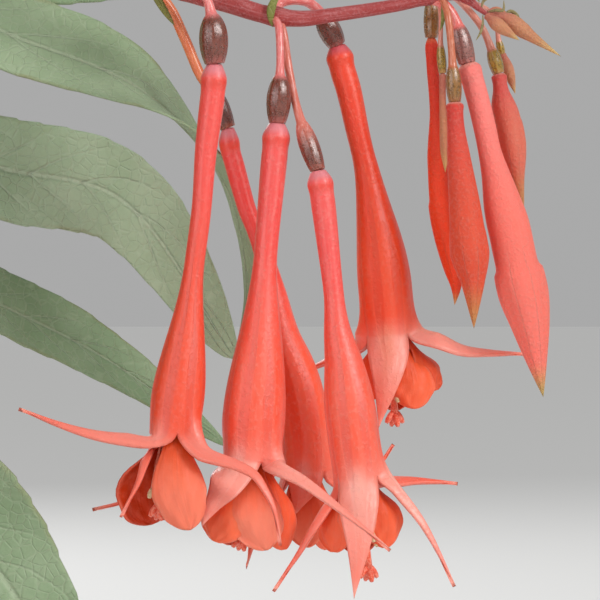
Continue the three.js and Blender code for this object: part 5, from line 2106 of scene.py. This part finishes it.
@dataclass(frozen=True)
class Hanger:
    """The hook, the collar under it and the three wires down to the rim."""

    hook_wire: float = 2.5
    bend: float = 16.5
    collar_top: float = -64.0
    collar_bottom: float = -82.0
    collar_radius: float = 7.0
    wire: float = 1.2
    bowl: Bowl = field(default_factory=Bowl)

    def hook_grid(self) -> Grid:
        """The hook: an arc over the support, a neck and a shank, with rounded ends.

        Returns:
            The rod.
        """
        centre = -(self.bend - self.hook_wire)
        turn = np.radians(np.arange(-45, 181, 15))
        arc = np.stack([self.bend * np.cos(turn), 0 * turn, centre + self.bend * np.sin(turn)], 1)
        shank = [(-15.6, 0, centre - 8), (-10, 0, centre - 18), (-3, 0, centre - 25), (0, 0, centre - 32),
                 (0, 0, self.collar_top), (0, 0, self.collar_bottom + 4)]
        return rounded_rod(Spline(np.vstack([arc, shank])), self.hook_wire, 260, 24)

    def collar_grid(self) -> Grid:
        """The collar: a short cylinder with bevelled ends, a bore and two crimped grooves.

        Returns:
            The surface of revolution.
        """
        radius, top, low = self.collar_radius, self.collar_top, self.collar_bottom
        middle, half = (top + low) / 2, (top - low) / 2
        steps = [(1, half), (0.3, half - 0.3), (0, half - 1), (0, 3.2), (0.5, 2.6), (0.5, 2), (0, 1.4)]
        upper = [(radius - inset, middle + above) for inset, above in steps]
        lower = [(radius - inset, middle - above) for inset, above in steps[::-1]]
        bore = (self.hook_wire + 0.3, top)
        return turned([bore, *upper, *lower, (0, low), (0, top), bore][::-1], 48)

    def wire_grid(self, azimuth: float) -> Grid:
        """A wire from the collar through its hole in the rim and along under the flange.

        Args:
            azimuth: the lug hole's azimuth.

        Returns:
            The rod.
        """
        aside = polar(1, azimuth + 90, 0)
        circle = self.bowl.lug_circle
        foot = RIM_Z - self.bowl.flange_thickness - SEAT_GAP - self.wire
        rim = [(0, RIM_Z + 6), (0, foot + 3), (0.8, foot + 0.9), (2.8, foot), (7, foot)]
        points = [
            polar(3.6, azimuth, self.collar_bottom + 6), polar(3.8, azimuth, self.collar_bottom),
            polar(5.5, azimuth, self.collar_bottom - 8), polar(60, azimuth, -214),
            polar(circle - 2.5, azimuth, RIM_Z + 14),
            *[polar(circle, azimuth, height) + aside * sideways for sideways, height in rim],
        ]
        return rounded_rod(Spline(np.array(points)), self.wire, 180, 12)

    def build(self) -> None:
        """Adds the hook, the collar and the wires."""
        add_piece("hook_wire", [self.hook_grid()], [WIRE], "wire", ["hanging_hook"])
        add_piece("collar_sleeve", [self.collar_grid()], [WIRE], "wire", ["hanger_collar"])
        for index, azimuth in enumerate(self.bowl.lug_azimuths):
            name = f"hanger_wire_{index + 1}"
            add_piece(f"{name}_rod", [self.wire_grid(azimuth)], [WIRE], "wire", [name])


def rounded_rod(route: Route, radius: float, rows: int, sides: int) -> Grid:
    """A round rod whose ends close in a quarter circle.

    Args:
        route: its middle line.
        radius: its radius.
        rows: rings along it.
        sides: points in a ring.

    Returns:
        The rod, thinner only within a radius of its ends.
    """
    ways = evenly(rows)
    length = np.linalg.norm(np.diff(route.at(ways), axis=0), axis=1).sum()
    near = np.minimum(ways, 1 - ways) * length / radius
    ends = np.sqrt(np.clip(1 - (1 - np.clip(near, 0, 1)) ** 2, 0.02, 1))
    return limb(route, ways, radius * ends, sides)


@dataclass(frozen=True)
class PottingMix:
    """The mix: a crumbly top inside the bowl, with loose chips on it."""

    bowl: Bowl = field(default_factory=Bowl)
    chips: int = 420
    grains: int = 190
    radius: float = 117.2
    scatter: float = 108.0
    seed: int = 7

    def heights(self, x: Array, y: Array) -> Array:
        """How far the top stands off its level: a sum of crossed waves that get shorter and lower.

        Args:
            x: places across.
            y: places in depth.

        Returns:
            The heights.
        """
        height = np.zeros_like(x)
        for index, (length, size) in enumerate(((60, 1.0), (23, 0.7), (9, 0.45), (4.2, 0.3), (2.3, 0.2))):
            turn = 1.3 * index
            first = (x * math.cos(turn) + y * math.sin(turn)) * TAU / length
            second = (y * math.cos(turn * 1.7) - x * math.sin(turn * 1.7)) * TAU / (length * 1.13)
            height = height + size * np.sin(first + 2 * np.sin(second * 0.7)) * np.cos(second)
        return height

    def top_grid(self) -> Grid:
        """Rings from the middle out to the wall, then down inside the bowl and in to the middle.

        Returns:
            The closed body of the mix.
        """
        clear = self.bowl.wall + SEAT_GAP
        base = RIM_Z - self.bowl.height
        outer = self.radius - clear
        rings = [(radius, SOIL_TOP) for radius in np.linspace(0, outer - 0.6, 90)]
        walls = [(outer, SOIL_TOP - 1), (115 - clear, base + 106), (106 - clear, base + 72),
                 (89 - clear, base + 37.2), (self.bowl.base_radius + 6.4, base + 4 + clear),
                 (self.bowl.base_radius - 0.5, base + clear), (0, base + clear)]
        grid = turned([*rings, *walls], 220)
        x, y, z = (grid.points[..., axis] for axis in range(3))
        inside = 1 - smooth(outer - 8, outer - 1, np.hypot(x, y))
        on_top = (z > SOIL_TOP - 0.5) * inside
        grid.points[..., 2] = z + self.heights(x, y) * on_top
        return grid

    def chip_grids(self, count: int, sizes: Pair, flat: float, shift: int) -> list[Grid]:
        """Loose lumps: small balls squeezed and turned at random, scattered evenly over the top.

        Args:
            count: how many.
            sizes: the smallest and the largest radius.
            flat: thickness against length.
            shift: what sets its draws apart.

        Returns:
            One ball for each chip.
        """
        draw = np.random.default_rng(self.seed + shift)
        radius = self.scatter * np.sqrt(draw.random(count))
        azimuth = 360 * draw.random(count)
        size = sizes[0] + (sizes[1] - sizes[0]) * draw.random(count) ** 2
        axis = unit(draw.normal(size=(count, 3)) * np.array([1, 1, flat]))
        tones = draw.random(count)
        grids = []
        for index in range(count):
            place = polar(radius[index], azimuth[index], SOIL_TOP)
            place[2] += self.heights(place[0], place[1]) + 0.3 * size[index]
            measure = np.array([size[index] * flat, size[index]])
            grids.append(ball(place, measure, axis[index], 3, 5, tone=tones[index]))
        return grids

    def build(self) -> None:
        """Adds the mix, the bark chips and the white grains."""
        top = add_piece("potting_mix_body", [self.top_grid()], [MIX], "mix", ["potting_mix"])
        flip_outwards(top.data)
        add_piece("bark_chips", self.chip_grids(self.chips, (1.2, 5.5), 0.5, 0), [BARK], "mix")
        add_piece("white_grains", self.chip_grids(self.grains, (0.6, 1.8), 0.85, 1), [GRIT], "mix")


# ---- the studio
@dataclass(frozen=True)
class Lamp:
    """A soft square lamp: where it hangs, its size in metres, its power and its colour."""

    name: str
    place: Place
    size: float
    watts: float
    tint: tuple[float, float, float] = (1.0, 1.0, 1.0)


@dataclass(frozen=True)
class Studio:
    """A pale floor, soft lamps and the camera in front of the cluster."""

    floor_z: float = -0.66
    floor_radius: float = 40.0
    camera_distance: float = VIEW_DISTANCE * MM
    half_view: float = 0.045
    ambient: float = 0.4
    overhead: float = 0.35
    target: Place = (0.1, -0.03, -0.38)
    lamps: Sequence[Lamp] = (
        Lamp("key", (3.2, -2.7, 1.6), 1.5, 104, (1.0, 0.985, 0.96)),
        Lamp("fill", (-2.6, -3.4, 0.6), 2.2, 52),
        Lamp("back", (-1.4, 3.6, 1.5), 1.6, 44),
    )

    def build(self) -> None:
        """Adds the floor, the lamps, the ambient light and the camera."""
        circle = turned([(0, 0), (self.floor_radius / MM, 0)], 96)
        floor = stand("floor", mesh_of("floor", [circle], [FloorFinish("floor")]))
        floor.location.z = self.floor_z
        world = bpy.data.worlds.new("studio")
        world.use_nodes = True
        back = world.node_tree.nodes["Background"]
        back.inputs["Color"].default_value = (1.0, 1.0, 1.0, 1.0)
        back.inputs["Strength"].default_value = self.ambient
        bpy.context.scene.world = world
        for lamp in self.lamps:
            self._hang(lamp)
        sky = bpy.data.lights.new("overhead", "SUN")
        sky.energy, sky.angle = self.overhead, math.radians(60)
        stand("overhead", sky)
        self._set_camera()
        bpy.context.scene.view_settings.view_transform = "Standard"

    def _hang(self, lamp: Lamp) -> None:
        """Adds one lamp, turned to the target.

        Args:
            lamp: the lamp.
        """
        data = bpy.data.lights.new(lamp.name, "AREA")
        data.size, data.energy, data.color = lamp.size, lamp.watts, lamp.tint
        made = stand(lamp.name, data)
        made.location = lamp.place
        toward = np.array(self.target) - np.array(lamp.place)
        pitch = math.atan2(math.hypot(toward[0], toward[1]), -toward[2])
        made.rotation_euler = (pitch, 0.0, math.atan2(toward[1], toward[0]) - math.pi / 2)
        made.visible_camera = False

    def _set_camera(self) -> None:
        """Adds the camera, level and square to the cluster."""
        data = bpy.data.cameras.new("camera")
        data.sensor_width = 36.0
        data.lens = data.sensor_width / 2 * self.camera_distance / self.half_view
        data.clip_start = 0.05
        camera = stand("camera", data)
        centre = CLUSTER * MM
        camera.location = (centre[0], centre[1] - self.camera_distance, centre[2])
        camera.rotation_euler = (math.pi / 2, 0.0, 0.0)
        bpy.context.scene.camera = camera


def main() -> None:
    """Builds the studio, the holder, the shoot in flower and the rest of the plant."""
    logging.basicConfig(level=logging.INFO, format="%(name)s %(message)s")
    Studio().build()
    Bowl().build()
    Hanger().build()
    PottingMix().build()
    for piece in (*STEMS, *FLOWERS, *BUDS, *SHOOT_LEAVES):
        piece.build()
    terminal_buds()
    node_bracts()
    for shoot in all_shoots():
        shoot.build()


if __name__ == "__main__":
    main()
